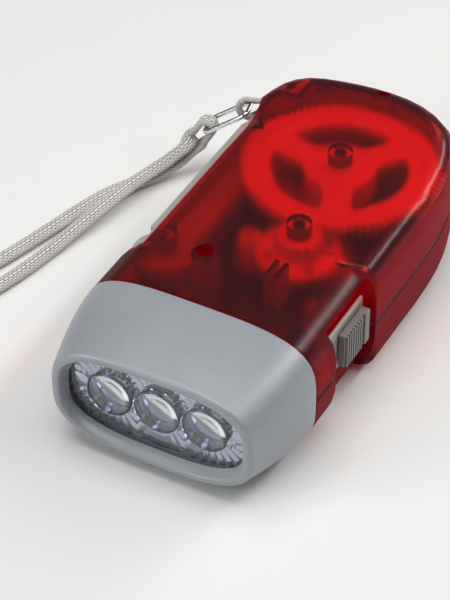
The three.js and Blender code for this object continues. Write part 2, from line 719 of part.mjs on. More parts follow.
function bayPrism(growth, base, top) {
  return polygonPrism([
    new THREE.Vector2(farLeft, bayFront - growth),
    new THREE.Vector2(-BODY_HALF_WIDTH, bayFront - growth),
    new THREE.Vector2(bayX + growth, bayFront + BAY_SHOULDER - growth / 2),
    new THREE.Vector2(bayX + growth, bayNotchStart),
    new THREE.Vector2(BAY_NOTCH_DEPTH - BODY_HALF_WIDTH + growth, bayNotchEnd),
    new THREE.Vector2(BAY_NOTCH_DEPTH - BODY_HALF_WIDTH + growth, bayEnd + growth),
    new THREE.Vector2(farLeft, bayEnd + growth),
  ], base, top);
}

function recessBox(growth) {
  return box(
    RECESS_FACE - growth, farRight,
    RECESS_FRONT - growth, RECESS_BACK + growth,
    belowBody, recessTop + growth,
  );
}

const skin = housing(0);
const outside = skin.subtract(bayPrism(0, belowBody, aboveBody)).subtract(recessBox(0));
const hollow = housing(WALL).subtract(bayPrism(WALL, belowBody, aboveBody)).subtract(recessBox(WALL));
const leverWindow = box(
  farLeft, bayX + WALL + OVERRUN,
  pivot.y, bayWindowEnd,
  bayFloor, bayRoof,
).add(cylinder(pivot, KNUCKLE_RADIUS + BAY_SWEEP_GAP, bayFloor, bayRoof, 2 * COLUMN_SIDES));
const behindSeam = box(farLeft, farRight, HEAD_LENGTH, BODY_LENGTH + OVERRUN, belowBody, aboveBody);
const shell = outside.subtract(hollow).subtract(leverWindow).intersect(behindSeam);

function half(solid, base, top) {
  return solid.intersect(box(farLeft, farRight, 0, BODY_LENGTH + OVERRUN, base, top));
}

// Upper half: screw wells, axle bosses, the strap's pocket and ribs that press on the battery
const stemSlot = box(
  RECESS_FACE - WALL - OVERRUN, farRight,
  PLATE_BACK - KNOB_BACK_GAP - KNOB_LENGTH / 2 - STEM_LENGTH / 2 - KNOB_TRAVEL - CLEARANCE,
  PLATE_BACK - KNOB_BACK_GAP - KNOB_LENGTH / 2 + STEM_LENGTH / 2 + CLEARANCE,
  plateBase + PLATE_HEIGHT / 2 - STEM_HEIGHT / 2 - CLEARANCE,
  plateBase + PLATE_HEIGHT / 2 + STEM_HEIGHT / 2 + CLEARANCE,
);
const innerTop = BODY_HEIGHT - WALL;
const pivotRoof = crownAt(Math.abs(pivot.x) + PIVOT_RADIUS, LEVER_SIDE_EXPONENT) - WALL;
const pocketRoof = pocketBase + pocketHeight;
const pocketBlock = box(
  farLeft, strapPin.x + POCKET_DEPTH + POCKET_WALL,
  bayWindowEnd, bayWindowEnd + POCKET_SPAN,
  Math.max(pocketBase - POCKET_FLOOR, MIDDLE), BODY_HEIGHT,
);
const pocket = box(
  farLeft, strapPin.x + POCKET_DEPTH,
  strapPin.y - POCKET_HALF_LENGTH, strapPin.y + POCKET_HALF_LENGTH,
  pocketBase, pocketRoof,
);
const gearRelief = cylinder(
  mainAxle, mainTip + GEAR_GAP, mainGearBase - GEAR_GAP, mainGearTop + GEAR_GAP, 2 * COLUMN_SIDES,
);
let upper = half(shell, MIDDLE, aboveBody);
let upperAdds = pocketBlock
  .add(cylinder(screwFront, COLUMN_RADIUS, MIDDLE, BODY_HEIGHT))
  .add(cylinder(screwTail, COLUMN_RADIUS, MIDDLE, BODY_HEIGHT))
  .add(cylinder(mainAxle, BOSS_RADIUS, mainHubTop + CLEARANCE, BODY_HEIGHT - WALL / 2))
  .add(cylinder(secondAxle, BOSS_RADIUS, secondTop + CLEARANCE, BODY_HEIGHT - WALL / 2))
  .add(cylinder(pivot, PIVOT_BOSS_RADIUS, bayRoof, BODY_HEIGHT - WALL / 2));
const batteryAxisZ = WALL + BATTERY_FLOOR_GAP + BATTERY_RADIUS;
for (let i = 0; i < PRESS_RIB_COUNT; i += 1) {
  const x = batteryX + PRESS_RIB_START + PRESS_RIB_PITCH * i;
  upperAdds = upperAdds.add(box(
    x, x + PRESS_RIB_WIDTH,
    BATTERY_Y + PRESS_RIB_SET_BACK, BATTERY_Y + PRESS_RIB_SET_BACK + PRESS_RIB_LENGTH,
    batteryAxisZ + BATTERY_RADIUS + PRESS_RIB_GAP, BODY_HEIGHT - WALL / 2,
  ));
}
upper = upper.add(upperAdds.intersect(half(outside, MIDDLE, aboveBody)))
  .subtract(gearRelief)
  .subtract(pocket)
  .subtract(stemSlot)
  .subtract(cylinder(screwFront, WELL_RADIUS, wellFloor, aboveBody))
  .subtract(cylinder(screwTail, WELL_TAIL_RADIUS, wellFloor, aboveBody))
  .subtract(cylinder(screwFront, SCREW_RADIUS + CLEARANCE, MIDDLE - OVERRUN, aboveBody))
  .subtract(cylinder(screwTail, SCREW_RADIUS + CLEARANCE, MIDDLE - OVERRUN, aboveBody))
  .subtract(cylinder(mainAxle, AXLE_RADIUS + CLEARANCE, mainHubTop, innerTop, AXLE_SIDES))
  .subtract(cylinder(secondAxle, AXLE_RADIUS + CLEARANCE, secondTop, innerTop, AXLE_SIDES))
  .subtract(cylinder(pivot, PIVOT_RADIUS + CLEARANCE, bayRoof - OVERRUN, pivotRoof, AXLE_SIDES))
  .subtract(cylinder(
    strapPin, STRAP_PIN_RADIUS + CLEARANCE, MIDDLE - OVERRUN, pocketRoof + STRAP_PIN_GRIP + CLEARANCE, AXLE_SIDES,
  ));
addPiece('upper_shell', upper, materials.redShell);

// Lower half: posts and bosses that stand on its floor
const sectorTop = sectorBase + SECTOR_FACE;
const driveBase = sectorBase - CLEARANCE;
const driveTop = driveBase + DRIVE_FACE;
const rotorFlangeBase = magnetBase - CLEARANCE - ROTOR_FLANGE_THICKNESS;
const floorTop = WALL / 2;
const columnFoot = MIDDLE - CLEARANCE;
const coreLeft = rotorAxle.x - CORE_TIP_REACH;
const coreRight = rotorAxle.x + CORE_REACH;
const coreOuterReach = ROTOR_MAGNET_RADIUS + AIR_GAP + CORE_SHOE_DEPTH;
const coreArmInner = coreOuterReach - CORE_ARM_WIDTH;
const springStopX = pivot.x + KNUCKLE_RADIUS + CLEARANCE;
const springRadius = HUB_RADIUS + CLEARANCE + 1.5 * SPRING_WIRE_RADIUS;
const springLegY = pivot.y - springRadius;
const springStopY = springLegY - SPRING_WIRE_RADIUS - CLEARANCE;

function floorPost(x, y, top) {
  return box(x - POST_WIDTH / 2, x + POST_WIDTH / 2, y - POST_WIDTH / 2, y + POST_WIDTH / 2, floorTop, top);
}

const cradleCut = new THREE.CylinderGeometry(
  BATTERY_RADIUS + CLEARANCE, BATTERY_RADIUS + CLEARANCE, BATTERY_LENGTH + OVERRUN, COLUMN_SIDES,
).rotateZ(Math.PI / 2).translate(batteryX + BATTERY_LENGTH / 2, BATTERY_Y, batteryAxisZ);

function cradleRib(x) {
  return box(
    x, x + CRADLE_THICKNESS,
    BATTERY_Y - CRADLE_HALF_WIDTH, BATTERY_Y + CRADLE_HALF_WIDTH,
    floorTop, floorTop + CRADLE_HEIGHT,
  );
}

const coreArmY = coreOuterReach - CORE_ARM_WIDTH / 2;
const corePosts = [
  [coreLeft + POST_WIDTH, -coreArmY], [coreLeft + POST_WIDTH, coreArmY],
  [coreRight - POST_WIDTH / 2, -coreArmY], [coreRight - POST_WIDTH / 2, coreArmY],
];
const boardInset = POST_WIDTH;
const boardPosts = [
  [CIRCUIT_X + boardInset, CIRCUIT_Y + CIRCUIT_DEPTH / 2],
  [CIRCUIT_X + CIRCUIT_WIDTH - boardInset, CIRCUIT_Y + CIRCUIT_DEPTH / 2],
];
let lowerAdds = cylinder(screwFront, COLUMN_RADIUS, floorTop, columnFoot)
  .add(cylinder(screwTail, COLUMN_RADIUS, floorTop, columnFoot))
  .add(cylinder(mainAxle, BOSS_RADIUS, floorTop, driveBase - CLEARANCE))
  .add(cylinder(secondAxle, BOSS_RADIUS - CLEARANCE, floorTop, secondDiscBase - CLEARANCE))
  .add(cylinder(rotorAxle, ROTOR_SLEEVE_RADIUS, floorTop, rotorFlangeBase - CLEARANCE))
  .add(cylinder(pivot, PIVOT_BOSS_RADIUS, floorTop, bayFloor))
  .add(box(
    springStopX, springStopX + SPRING_STOP_WIDTH,
    springStopY - SPRING_STOP_DEPTH, springStopY,
    floorTop, springBase + SPRING_WIRE_RADIUS + SPRING_STOP_RISE,
  ))
  .add(cradleRib(batteryX + CRADLE_INSET).subtract(toSolid(cradleCut)))
  .add(cradleRib(batteryX + BATTERY_LENGTH - CRADLE_INSET - CRADLE_THICKNESS).subtract(toSolid(cradleCut)));
corePosts.forEach(([x, y]) => {
  lowerAdds = lowerAdds.add(floorPost(x, rotorAxle.y + y, coreBase - CLEARANCE));
});
boardPosts.forEach(([x, y]) => {
  lowerAdds = lowerAdds.add(floorPost(x, y, circuitBase - CLEARANCE));
});
const lower = half(shell, belowBody, MIDDLE - CLEARANCE)
  .add(lowerAdds.intersect(outside))
  .subtract(stemSlot)
  .subtract(cylinder(screwFront, SCREW_RADIUS + CLEARANCE, WALL + PIN_SINK, MIDDLE + OVERRUN))
  .subtract(cylinder(screwTail, SCREW_RADIUS + CLEARANCE, WALL + PIN_SINK, MIDDLE + OVERRUN))
  .subtract(cylinder(mainAxle, AXLE_RADIUS + CLEARANCE, WALL, MIDDLE + OVERRUN, AXLE_SIDES))
  .subtract(cylinder(secondAxle, AXLE_RADIUS + CLEARANCE, WALL, secondTop, AXLE_SIDES))
  .subtract(cylinder(rotorAxle, ROTOR_AXLE_RADIUS + CLEARANCE, WALL, MIDDLE, AXLE_SIDES))
  .subtract(cylinder(pivot, PIVOT_RADIUS + CLEARANCE, WALL, MIDDLE, AXLE_SIDES));
addPiece('lower_shell', lower, materials.redShell);

function pin(centre, radius, base, top) {
  return cylinder(centre, radius, base, top, AXLE_SIDES);
}

addPiece('main_axle', pin(mainAxle, AXLE_RADIUS, WALL + CLEARANCE, innerTop - CLEARANCE), materials.steel);
addPiece('second_axle', pin(secondAxle, AXLE_RADIUS, WALL + CLEARANCE, innerTop - CLEARANCE), materials.steel);
addPiece('lever_pivot_pin', pin(pivot, PIVOT_RADIUS, WALL + CLEARANCE, pivotRoof - CLEARANCE), materials.steel);

function caseScrew(centre) {
  return cylinder(centre, SCREW_HEAD_RADIUS, wellFloor + CLEARANCE, wellFloor + CLEARANCE + SCREW_HEAD_HEIGHT)
    .add(pin(centre, SCREW_RADIUS, wellFloor + CLEARANCE - SCREW_LENGTH, wellFloor + 2 * CLEARANCE));
}

addPiece('case_screw_front', caseScrew(screwFront), materials.steel);
addPiece('case_screw_tail', caseScrew(screwTail), materials.steel);

// Main gear: toothed rim, three windows, and under it the ratchet cup that the pawls catch
const mainShape = gearShape(mainAxle, MAIN_TEETH, GEAR_MODULE, SECOND_BEARING_DEGREES);
mainShape.holes.push(circleHole(mainAxle, AXLE_RADIUS + CLEARANCE));
for (let i = 0; i < WINDOW_COUNT; i += 1) {
  mainShape.holes.push(windowHole(mainAxle, WINDOW_FIRST_DEGREES + (360 * i) / WINDOW_COUNT));
}
const webRecess = cylinder(
  mainAxle, mainTip - MAIN_RIM_WIDTH, mainGearTop - MAIN_WEB_RECESS, mainGearTop + OVERRUN, 2 * COLUMN_SIDES,
).subtract(cylinder(mainAxle, MAIN_HUB_RADIUS, mainGearTop - OVERRUN, mainGearTop + 2 * OVERRUN));
const cupBore = [];
const cupInner = CUP_RADIUS - CUP_RIM;
for (let i = 0; i < RATCHET_TEETH; i += 1) {
  cupBore.push(pointFrom(mainAxle, cupInner, (360 * i) / RATCHET_TEETH));
  cupBore.push(pointFrom(mainAxle, cupInner - RATCHET_DEPTH, (360 * (i + 1)) / RATCHET_TEETH));
}
const pawlBase = driveTop + GEAR_GAP;
const pawlTop = pawlBase + PAWL_THICKNESS;
const cupBase = pawlBase - CLEARANCE;
const cupRing = cylinder(mainAxle, CUP_RADIUS, cupBase, mainGearBase + WALL / 2)
  .subtract(polygonPrism(cupBore, cupBase - OVERRUN, mainGearBase));
const axleBore = (base, top) => cylinder(mainAxle, AXLE_RADIUS + CLEARANCE, base, top, AXLE_SIDES);
const mainGear = prism(mainShape, mainGearBase, mainGearTop)
  .subtract(webRecess)
  .add(cupRing)
  .add(cylinder(mainAxle, MAIN_HUB_RADIUS, pawlTop + CLEARANCE, mainHubTop))
  .subtract(axleBore(cupBase, mainHubTop + OVERRUN));
addPiece('main_gear', mainGear, materials.whitePlastic);

// Drive pinion, turned by the lever, with its two pawls in the ratchet cup
const driveShape = gearShape(
  mainAxle, DRIVE_TEETH, LEVER_MODULE, PIVOT_BEARING_DEGREES + 180 / DRIVE_TEETH,
);
const pawlTip = cupInner - RATCHET_DEPTH - GEAR_GAP;
const pawlOutline = [];
for (let i = 0; i < PAWL_COUNT; i += 1) {
  for (let j = 0; j < PAWL_STEPS; j += 1) {
    const share = j / (PAWL_STEPS - 1);
    const degrees = (360 / PAWL_COUNT) * (i + (share * (PAWL_STEPS - 1)) / PAWL_STEPS);
    pawlOutline.push(pointFrom(mainAxle, PAWL_BASE_RADIUS + (pawlTip - PAWL_BASE_RADIUS) * share ** 2, degrees));
  }
}
const drivePinion = prism(driveShape, driveBase, driveTop)
  .add(cylinder(mainAxle, DRIVE_COLLAR_RADIUS, driveTop - WALL / 2, pawlBase + WALL / 2))
  .add(polygonPrism(pawlOutline, pawlBase, pawlTop))
  .subtract(axleBore(driveBase - OVERRUN, pawlTop + OVERRUN));
addPiece('drive_pinion', drivePinion, materials.whitePlastic);

// Second gear: a small pinion in mesh with the main gear, over a disc that turns the rotor
const secondDisc = gearShape(secondAxle, SECOND_TEETH, GEAR_MODULE, ROTOR_BEARING_DEGREES);
for (let i = 0; i < SECOND_HOLE_COUNT; i += 1) {
  secondDisc.holes.push(circleHole(
    pointFrom(
      secondAxle,
      pitchRadius(SECOND_TEETH, GEAR_MODULE) * SECOND_HOLE_SHARE,
      (360 * (i + 0.5)) / SECOND_HOLE_COUNT,
    ),
    SECOND_HOLE_RADIUS,
  ));
}
const secondPinion = gearShape(
  secondAxle, SECOND_PINION_TEETH, GEAR_MODULE, SECOND_BEARING_DEGREES + 180 + 180 / SECOND_PINION_TEETH,
);
const secondGear = prism(secondDisc, secondDiscBase, secondDiscTop)
  .add(prism(secondPinion, secondDiscTop - WALL / 2, secondTop))
  .subtract(cylinder(secondAxle, AXLE_RADIUS + CLEARANCE, WALL, aboveBody, AXLE_SIDES));
addPiece('second_gear', secondGear, materials.whitePlastic);

// Rotor: a ring magnet on a moulded sleeve, with the last pinion at its top
const rotorPinionTop = secondDiscTop + CLEARANCE;
const rotorPinionBase = rotorPinionTop - ROTOR_PINION_FACE;
const rotorShape = gearShape(
  rotorAxle, ROTOR_TEETH, GEAR_MODULE, ROTOR_BEARING_DEGREES + 180 + 180 / ROTOR_TEETH,
);
const rotorSleeve = cylinder(rotorAxle, ROTOR_SLEEVE_RADIUS, rotorFlangeBase, rotorPinionBase)
  .add(cylinder(rotorAxle, ROTOR_FLANGE_RADIUS, rotorFlangeBase, rotorFlangeBase + ROTOR_FLANGE_THICKNESS))
  .add(prism(rotorShape, rotorPinionBase - WALL / 2, rotorPinionTop))
  .subtract(pin(rotorAxle, ROTOR_AXLE_RADIUS + CLEARANCE, 0, aboveBody));
addPiece('rotor_pinion', rotorSleeve, materials.whitePlastic);
const magnetTop = magnetBase + ROTOR_MAGNET_HEIGHT;
addPiece(
  'rotor_magnet',
  cylinder(rotorAxle, ROTOR_MAGNET_RADIUS, magnetBase, magnetTop)
    .subtract(cylinder(rotorAxle, ROTOR_SLEEVE_RADIUS + CLEARANCE, 0, aboveBody)),
  materials.magnet,
);
addPiece(
  'rotor_axle',
  pin(rotorAxle, ROTOR_AXLE_RADIUS, WALL + CLEARANCE, rotorPinionTop - CLEARANCE),
  materials.steel,
);

// Laminated core: two arms with pole shoes round the rotor, joined by the leg in the coil
const coreTop = coreBase + CORE_HEIGHT;
const coreLow = rotorAxle.y - coreOuterReach;
const coreHigh = rotorAxle.y + coreOuterReach;
const shoeReach = ROTOR_MAGNET_RADIUS * 0.8;
const core = box(coreLeft, coreRight, coreLow, coreHigh, coreBase, coreTop)
  .subtract(box(
    rotorAxle.x + shoeReach, coreRight - CORE_LEG_WIDTH,
    rotorAxle.y - coreArmInner, rotorAxle.y + coreArmInner,
    coreBase - OVERRUN, coreTop + OVERRUN,
  ))
  .subtract(box(
    coreLeft - OVERRUN, coreRight - CORE_LEG_WIDTH,
    rotorAxle.y - CORE_POLE_GAP / 2, rotorAxle.y + CORE_POLE_GAP / 2,
    coreBase - OVERRUN, coreTop + OVERRUN,
  ))
  .subtract(cylinder(rotorAxle, ROTOR_MAGNET_RADIUS + AIR_GAP, 0, BODY_HEIGHT));
addPiece('stator_core', core, materials.steel);

// Coil on its bobbin, round the core's leg
const legX = coreRight - CORE_LEG_WIDTH / 2;
const legZ = coreBase + CORE_HEIGHT / 2;
const bobbinHalfHeight = legZ - WALL - BOBBIN_FLOOR_GAP;
const windingHalfWidth = BOBBIN_HALF_WIDTH - BOBBIN_LIP;
const windingHalfHeight = bobbinHalfHeight - BOBBIN_LIP;
const bobbinStart = rotorAxle.y - coreArmInner + BOBBIN_END_GAP;
const bobbinEnd = rotorAxle.y + coreArmInner - BOBBIN_END_GAP;

function legBox(halfWidth, halfHeight, start, end) {
  return box(legX - halfWidth, legX + halfWidth, start, end, legZ - halfHeight, legZ + halfHeight);
}

function legSleeve(growth, start, end) {
  return legBox(CORE_LEG_WIDTH / 2 + growth, CORE_HEIGHT / 2 + growth, start, end);
}

const bobbin = legSleeve(CLEARANCE + BOBBIN_WALL, bobbinStart, bobbinEnd)
  .add(legBox(BOBBIN_HALF_WIDTH, bobbinHalfHeight, bobbinStart, bobbinStart + BOBBIN_FLANGE))
  .add(legBox(BOBBIN_HALF_WIDTH, bobbinHalfHeight, bobbinEnd - BOBBIN_FLANGE, bobbinEnd))
  .subtract(legSleeve(CLEARANCE, bobbinStart - OVERRUN, bobbinEnd + OVERRUN));
addPiece('coil_bobbin', bobbin, materials.whitePlastic);
const windingOutline = new THREE.Shape([
  [-windingHalfWidth, WINDING_CHAMFER - windingHalfHeight],
  [WINDING_CHAMFER - windingHalfWidth, -windingHalfHeight],
  [windingHalfWidth - WINDING_CHAMFER, -windingHalfHeight],
  [windingHalfWidth, WINDING_CHAMFER - windingHalfHeight],
  [windingHalfWidth, windingHalfHeight - WINDING_CHAMFER],
  [windingHalfWidth - WINDING_CHAMFER, windingHalfHeight],
  [WINDING_CHAMFER - windingHalfWidth, windingHalfHeight],
  [-windingHalfWidth, windingHalfHeight - WINDING_CHAMFER],
].map(([x, y]) => new THREE.Vector2(x, y)));
const windingStart = bobbinStart + BOBBIN_FLANGE + CLEARANCE;
const windingEnd = bobbinEnd - BOBBIN_FLANGE - CLEARANCE;
const winding = toSolid(
  prismGeometry(windingOutline, windingStart, windingEnd).rotateX(-Math.PI / 2).translate(legX, 0, legZ),
).subtract(legSleeve(BOBBIN_WALL + 2 * CLEARANCE, bobbinStart, bobbinEnd));
addPiece('coil_winding', winding, materials.copper);

// Squeeze lever: grip wall, two flanges, knuckle and hub on the pivot, and the toothed sector
const gripOuter = GRIP_INSET - BODY_HALF_WIDTH;
const gripInner = gripOuter + GRIP_THICKNESS;
const grip = polygonPrism([
  new THREE.Vector2(gripOuter, gripStart),
  new THREE.Vector2(gripInner, gripStart),
  new THREE.Vector2(gripInner, gripEnd),
  new THREE.Vector2((gripInner + gripOuter) / 2, gripEnd),
  new THREE.Vector2(gripOuter, gripEnd - 1.5 * GRIP_THICKNESS),
], leverBase, leverTop, GRIP_CHAMFER);

function flange(width, base) {
  const inner = gripOuter + width;
  const end = gripEnd - FLANGE_END_GAP;
  return polygonPrism([
    new THREE.Vector2(gripInner - GRIP_THICKNESS / 2, flangeStart),
    new THREE.Vector2(inner - FLANGE_CORNER, flangeStart),
    new THREE.Vector2(inner, flangeStart + FLANGE_CORNER),
    new THREE.Vector2(inner, end - FLANGE_CORNER),
    new THREE.Vector2(inner - FLANGE_CORNER, end),
    new THREE.Vector2(gripInner - GRIP_THICKNESS / 2, end),
  ], base, base + FLANGE_THICKNESS);
}

const knuckleWall = [];
for (let i = 0; i <= KNUCKLE_STEPS; i += 1) {
  const share = i / KNUCKLE_STEPS;
  const degrees = KNUCKLE_START_DEGREES + (KNUCKLE_END_DEGREES - KNUCKLE_START_DEGREES) * share;
  knuckleWall.push(pointFrom(pivot, KNUCKLE_RADIUS, degrees));
  knuckleWall.unshift(pointFrom(pivot, KNUCKLE_RADIUS - KNUCKLE_WALL, degrees));
}
const topFlangeBase = leverTop - FLANGE_THICKNESS;
const sectorOutline = [];
for (let i = SECTOR_LAST_TOOTH; i <= SECTOR_FIRST_TOOTH; i += 1) {
  sectorOutline.push(...toothCorners(
    pivot, SECTOR_TEETH, LEVER_MODULE, PIVOT_BEARING_DEGREES - 180 + (360 * i) / SECTOR_TEETH,
  ));
}
const sectorRoot = pitchRadius(SECTOR_TEETH, LEVER_MODULE) - LEVER_MODULE * DEDENDUM_SHARE;
const sectorFirst = PIVOT_BEARING_DEGREES - 180 + (360 * (SECTOR_FIRST_TOOTH + 0.5)) / SECTOR_TEETH;
const sectorLast = PIVOT_BEARING_DEGREES - 180 + (360 * (SECTOR_LAST_TOOTH - 0.5)) / SECTOR_TEETH;
for (let i = 0; i <= SECTOR_STEPS; i += 1) {
  const degrees = sectorFirst + ((SECTOR_ROOT_DEGREES - sectorFirst) * i) / SECTOR_STEPS;
  sectorOutline.push(pointFrom(pivot, sectorRoot, degrees));
}
for (let i = 0; i <= SECTOR_STEPS; i += 1) {
  const degrees = SECTOR_ROOT_DEGREES + ((sectorLast - SECTOR_ROOT_DEGREES) * i) / SECTOR_STEPS;
  sectorOutline.push(pointFrom(pivot, SECTOR_INNER_RADIUS, degrees));
}
const sectorRib = box(
  gripInner - GRIP_THICKNESS / 2, gripOuter + TOP_FLANGE_WIDTH - FLANGE_CORNER,
  ribY, ribY + RIB_THICKNESS,
  leverBase + FLANGE_THICKNESS / 2, leverTop - FLANGE_THICKNESS / 2,
);
const leverSpace = box(gripOuter, BODY_HALF_WIDTH, 0, BODY_LENGTH, leverBase, leverTop);
const lever = grip
  .add(flange(TOP_FLANGE_WIDTH, topFlangeBase))
  .add(flange(BOTTOM_FLANGE_WIDTH, leverBase))
  .add(polygonPrism(knuckleWall, leverBase, leverTop))
  .add(cylinder(pivot, KNUCKLE_RADIUS, leverBase, leverBase + FLANGE_THICKNESS))
  .add(cylinder(pivot, KNUCKLE_RADIUS, topFlangeBase, leverTop))
  .add(cylinder(pivot, HUB_RADIUS, leverBase, leverTop))
  .add(polygonPrism(sectorOutline, sectorBase, sectorTop).intersect(leverSpace))
  .add(sectorRib)
  .subtract(cylinder(pivot, PIVOT_RADIUS + CLEARANCE, 0, aboveBody, AXLE_SIDES));
addPiece('squeeze_lever', lever, materials.greyPlastic);

// Return spring: a wound coil on the hub, one leg on the grip and one on the stop
const springPoints = [];
springPoints.push(new THREE.Vector3(pivot.x + SPRING_SHORT_LEG, springLegY, springBase));
springPoints.push(new THREE.Vector3(pivot.x + SPRING_SHORT_LEG / 2, springLegY, springBase));
const springTurns = SPRING_TURNS + 0.25;
for (let i = 0; i <= springTurns * SPRING_STEPS; i += 1) {
  const place = pointFrom(pivot, springRadius, -90 - (360 * i) / SPRING_STEPS);
  springPoints.push(new THREE.Vector3(place.x, place.y, springBase + (SPRING_PITCH * i) / SPRING_STEPS));
}
const springTop = springBase + SPRING_PITCH * springTurns;
springPoints.push(new THREE.Vector3(pivot.x - springRadius, pivot.y + SPRING_LONG_LEG, springTop));
const springLoft = springPoints.map((point, i) => {
  const ahead = springPoints[Math.min(i + 1, springPoints.length - 1)];
  const behind = springPoints[Math.max(i - 1, 0)];
  const along = ahead.clone().sub(behind).normalize();
  const side = new THREE.Vector3(0, 0, 1).cross(along).normalize();
  const rise = along.clone().cross(side);
  return Array.from({ length: SPRING_SIDES }, (_, j) => {
    const angle = (2 * Math.PI * j) / SPRING_SIDES;
    return point.clone()
      .addScaledVector(side, SPRING_WIRE_RADIUS * Math.cos(angle))
      .addScaledVector(rise, SPRING_WIRE_RADIUS * Math.sin(angle));
  });
});

function wireTube(rings) {
  const count = rings[0].length;
  const positions = rings.flat().flatMap((point) => [point.x, point.y, point.z]);
  const index = [];
  for (let level = 0; level + 1 < rings.length; level += 1) {
    for (let j = 0; j < count; j += 1) {
      const a = level * count + j;
      const b = level * count + ((j + 1) % count);
      index.push(a, b, b + count, a, b + count, a + count);
    }
  }
  const last = (rings.length - 1) * count;
  for (let j = 1; j + 1 < count; j += 1) {
    index.push(0, j + 1, j, last, last + j, last + j + 1);
  }
  const geometry = new THREE.BufferGeometry();
  geometry.setAttribute('position', new THREE.Float32BufferAttribute(positions, 3));
  geometry.setIndex(index);
  return toSolid(geometry);
}

addPiece('return_spring', wireTube(springLoft), materials.steel);
console.log(`return spring: least gap between turns ${(SPRING_PITCH - 2 * SPRING_WIRE_RADIUS).toFixed(2)} mm`);

// Lamp head: a flared bezel with a rounded rim, hollow behind a tapered lip

function headHalfWidth(share) {
  return RIM_HALF_WIDTH + (BODY_HALF_WIDTH - RIM_HALF_WIDTH) * Math.sin((share * Math.PI) / 2);
}

function headHalfHeight(share) {
  return rimHalfHeight + (MIDDLE - rimHalfHeight) * Math.sin((share * Math.PI) / 2);
}

function headExponent(share) {
  return RIM_EXPONENT + (HEAD_EXPONENT - RIM_EXPONENT) * share;
}

function headRing(inset, share, place) {
  return superellipse(headHalfWidth(share) - inset, headHalfHeight(share) - inset, headExponent(share), HEAD_SIDES)
    .map((point) => new THREE.Vector3(point.x, point.y, place));
}

function standUp(geometry) {
  return geometry.rotateX(-Math.PI / 2).translate(0, 0, MIDDLE);
}

const headEnd = HEAD_LENGTH - CLEARANCE;
const headOuter = toSolid(standUp(loft([
  headRing(RIM_ROUND, 0, 0),
  headRing(RIM_ROUND / 4, 0, RIM_ROUND / 3),
  ...HEAD_STATION_SHARES.map((share) => headRing(0, share, share * headEnd)),
])));
const lensSeat = LIP_LENGTH + CLEARANCE;
const seatShare = LIP_LENGTH / headEnd;
const headPocket = toSolid(standUp(loft([
  headRing(HEAD_WALL, seatShare, LIP_LENGTH),
  ...HEAD_STATION_SHARES.slice(2).map((share) => headRing(HEAD_WALL, share, share * headEnd)),
  headRing(HEAD_WALL, 1, headEnd + OVERRUN),
])));
const lipMouth = toSolid(standUp(loft([
  headRing(RIM_WIDTH - LIP_TAPER / 2, 0, -OVERRUN),
  headRing(RIM_WIDTH, 0, RIM_ROUND / 3),
  headRing(RIM_WIDTH + LIP_TAPER, 0, LIP_LENGTH + OVERRUN / 2),
])));
const tongueTop = MIDDLE + MIDDLE - WALL - CLEARANCE;

function tongue(base, top) {
  return box(
    -TONGUE_HALF_WIDTH, TONGUE_HALF_WIDTH,
    headEnd - TONGUE_ROOT, headEnd + TONGUE_LENGTH,
    base, top,
  );
}

const bezel = headOuter
  .subtract(headPocket)
  .subtract(lipMouth)
  .add(tongue(tongueTop - TONGUE_THICKNESS, tongueTop))
  .add(tongue(BODY_HEIGHT - tongueTop, BODY_HEIGHT - tongueTop + TONGUE_THICKNESS));
addPiece('head_bezel', bezel, materials.greyPlastic);

// Clear lens: a plate behind the lip with a bullseye dome over each lamp
const lampXs = Array.from({ length: LAMP_COUNT }, (_, i) => LAMP_SPACING * (i - (LAMP_COUNT - 1) / 2));
const plateInset = HEAD_WALL + CLEARANCE;
const lensBack = lensSeat + LENS_THICKNESS;
let lens = toSolid(standUp(loft([
  headRing(plateInset, seatShare, lensSeat),
  headRing(plateInset, seatShare, lensBack),
])));
const domeProfile = [[0, LENS_THICKNESS / 2], [DOME_RADIUS, LENS_THICKNESS / 2], [DOME_RADIUS, -CLEARANCE]];
for (let i = 1; i <= DOME_STEPS; i += 1) {
  const angle = ((Math.PI / 2) * i) / DOME_STEPS;
  domeProfile.push([DOME_RADIUS * Math.cos(angle), -CLEARANCE - (DOME_RISE - CLEARANCE) * Math.sin(angle)]);
}
domeProfile[domeProfile.length - 1][0] = 0;
lampXs.forEach((x) => {
  lens = lens.add(turnedAlongY(domeProfile, x, lensSeat, MIDDLE, COLUMN_SIDES));
});
addPiece('lens', lens, materials.clearPlastic);

// Reflector: three bright cups in one block, with posts that hold the lamp board off
const reflectorFront = lensBack + REFLECTOR_GAP;
const reflectorBack = reflectorFront + REFLECTOR_DEPTH;
let reflector = toSolid(standUp(loft([
  headRing(plateInset, seatShare, reflectorFront),
  headRing(plateInset, seatShare, reflectorBack),
])));
const cupProfile = [[0, -OVERRUN], [CUP_MOUTH_RADIUS, -OVERRUN]];
for (let i = 0; i <= CUP_STEPS; i += 1) {
  const share = i / CUP_STEPS;
  const radius = CUP_THROAT_RADIUS + (CUP_MOUTH_RADIUS - CUP_THROAT_RADIUS) * Math.sqrt(1 - share);
  cupProfile.push([radius, CUP_MOUTH_WALL + (REFLECTOR_DEPTH - CUP_MOUTH_WALL) * share]);
}
cupProfile.push([CUP_THROAT_RADIUS, REFLECTOR_DEPTH + OVERRUN], [0, REFLECTOR_DEPTH + OVERRUN]);
lampXs.forEach((x) => {
  reflector = reflector.subtract(turnedAlongY(cupProfile, x, reflectorFront, MIDDLE, COLUMN_SIDES));
});
const boardFront = reflectorBack + REFLECTOR_POST_LENGTH + CLEARANCE;
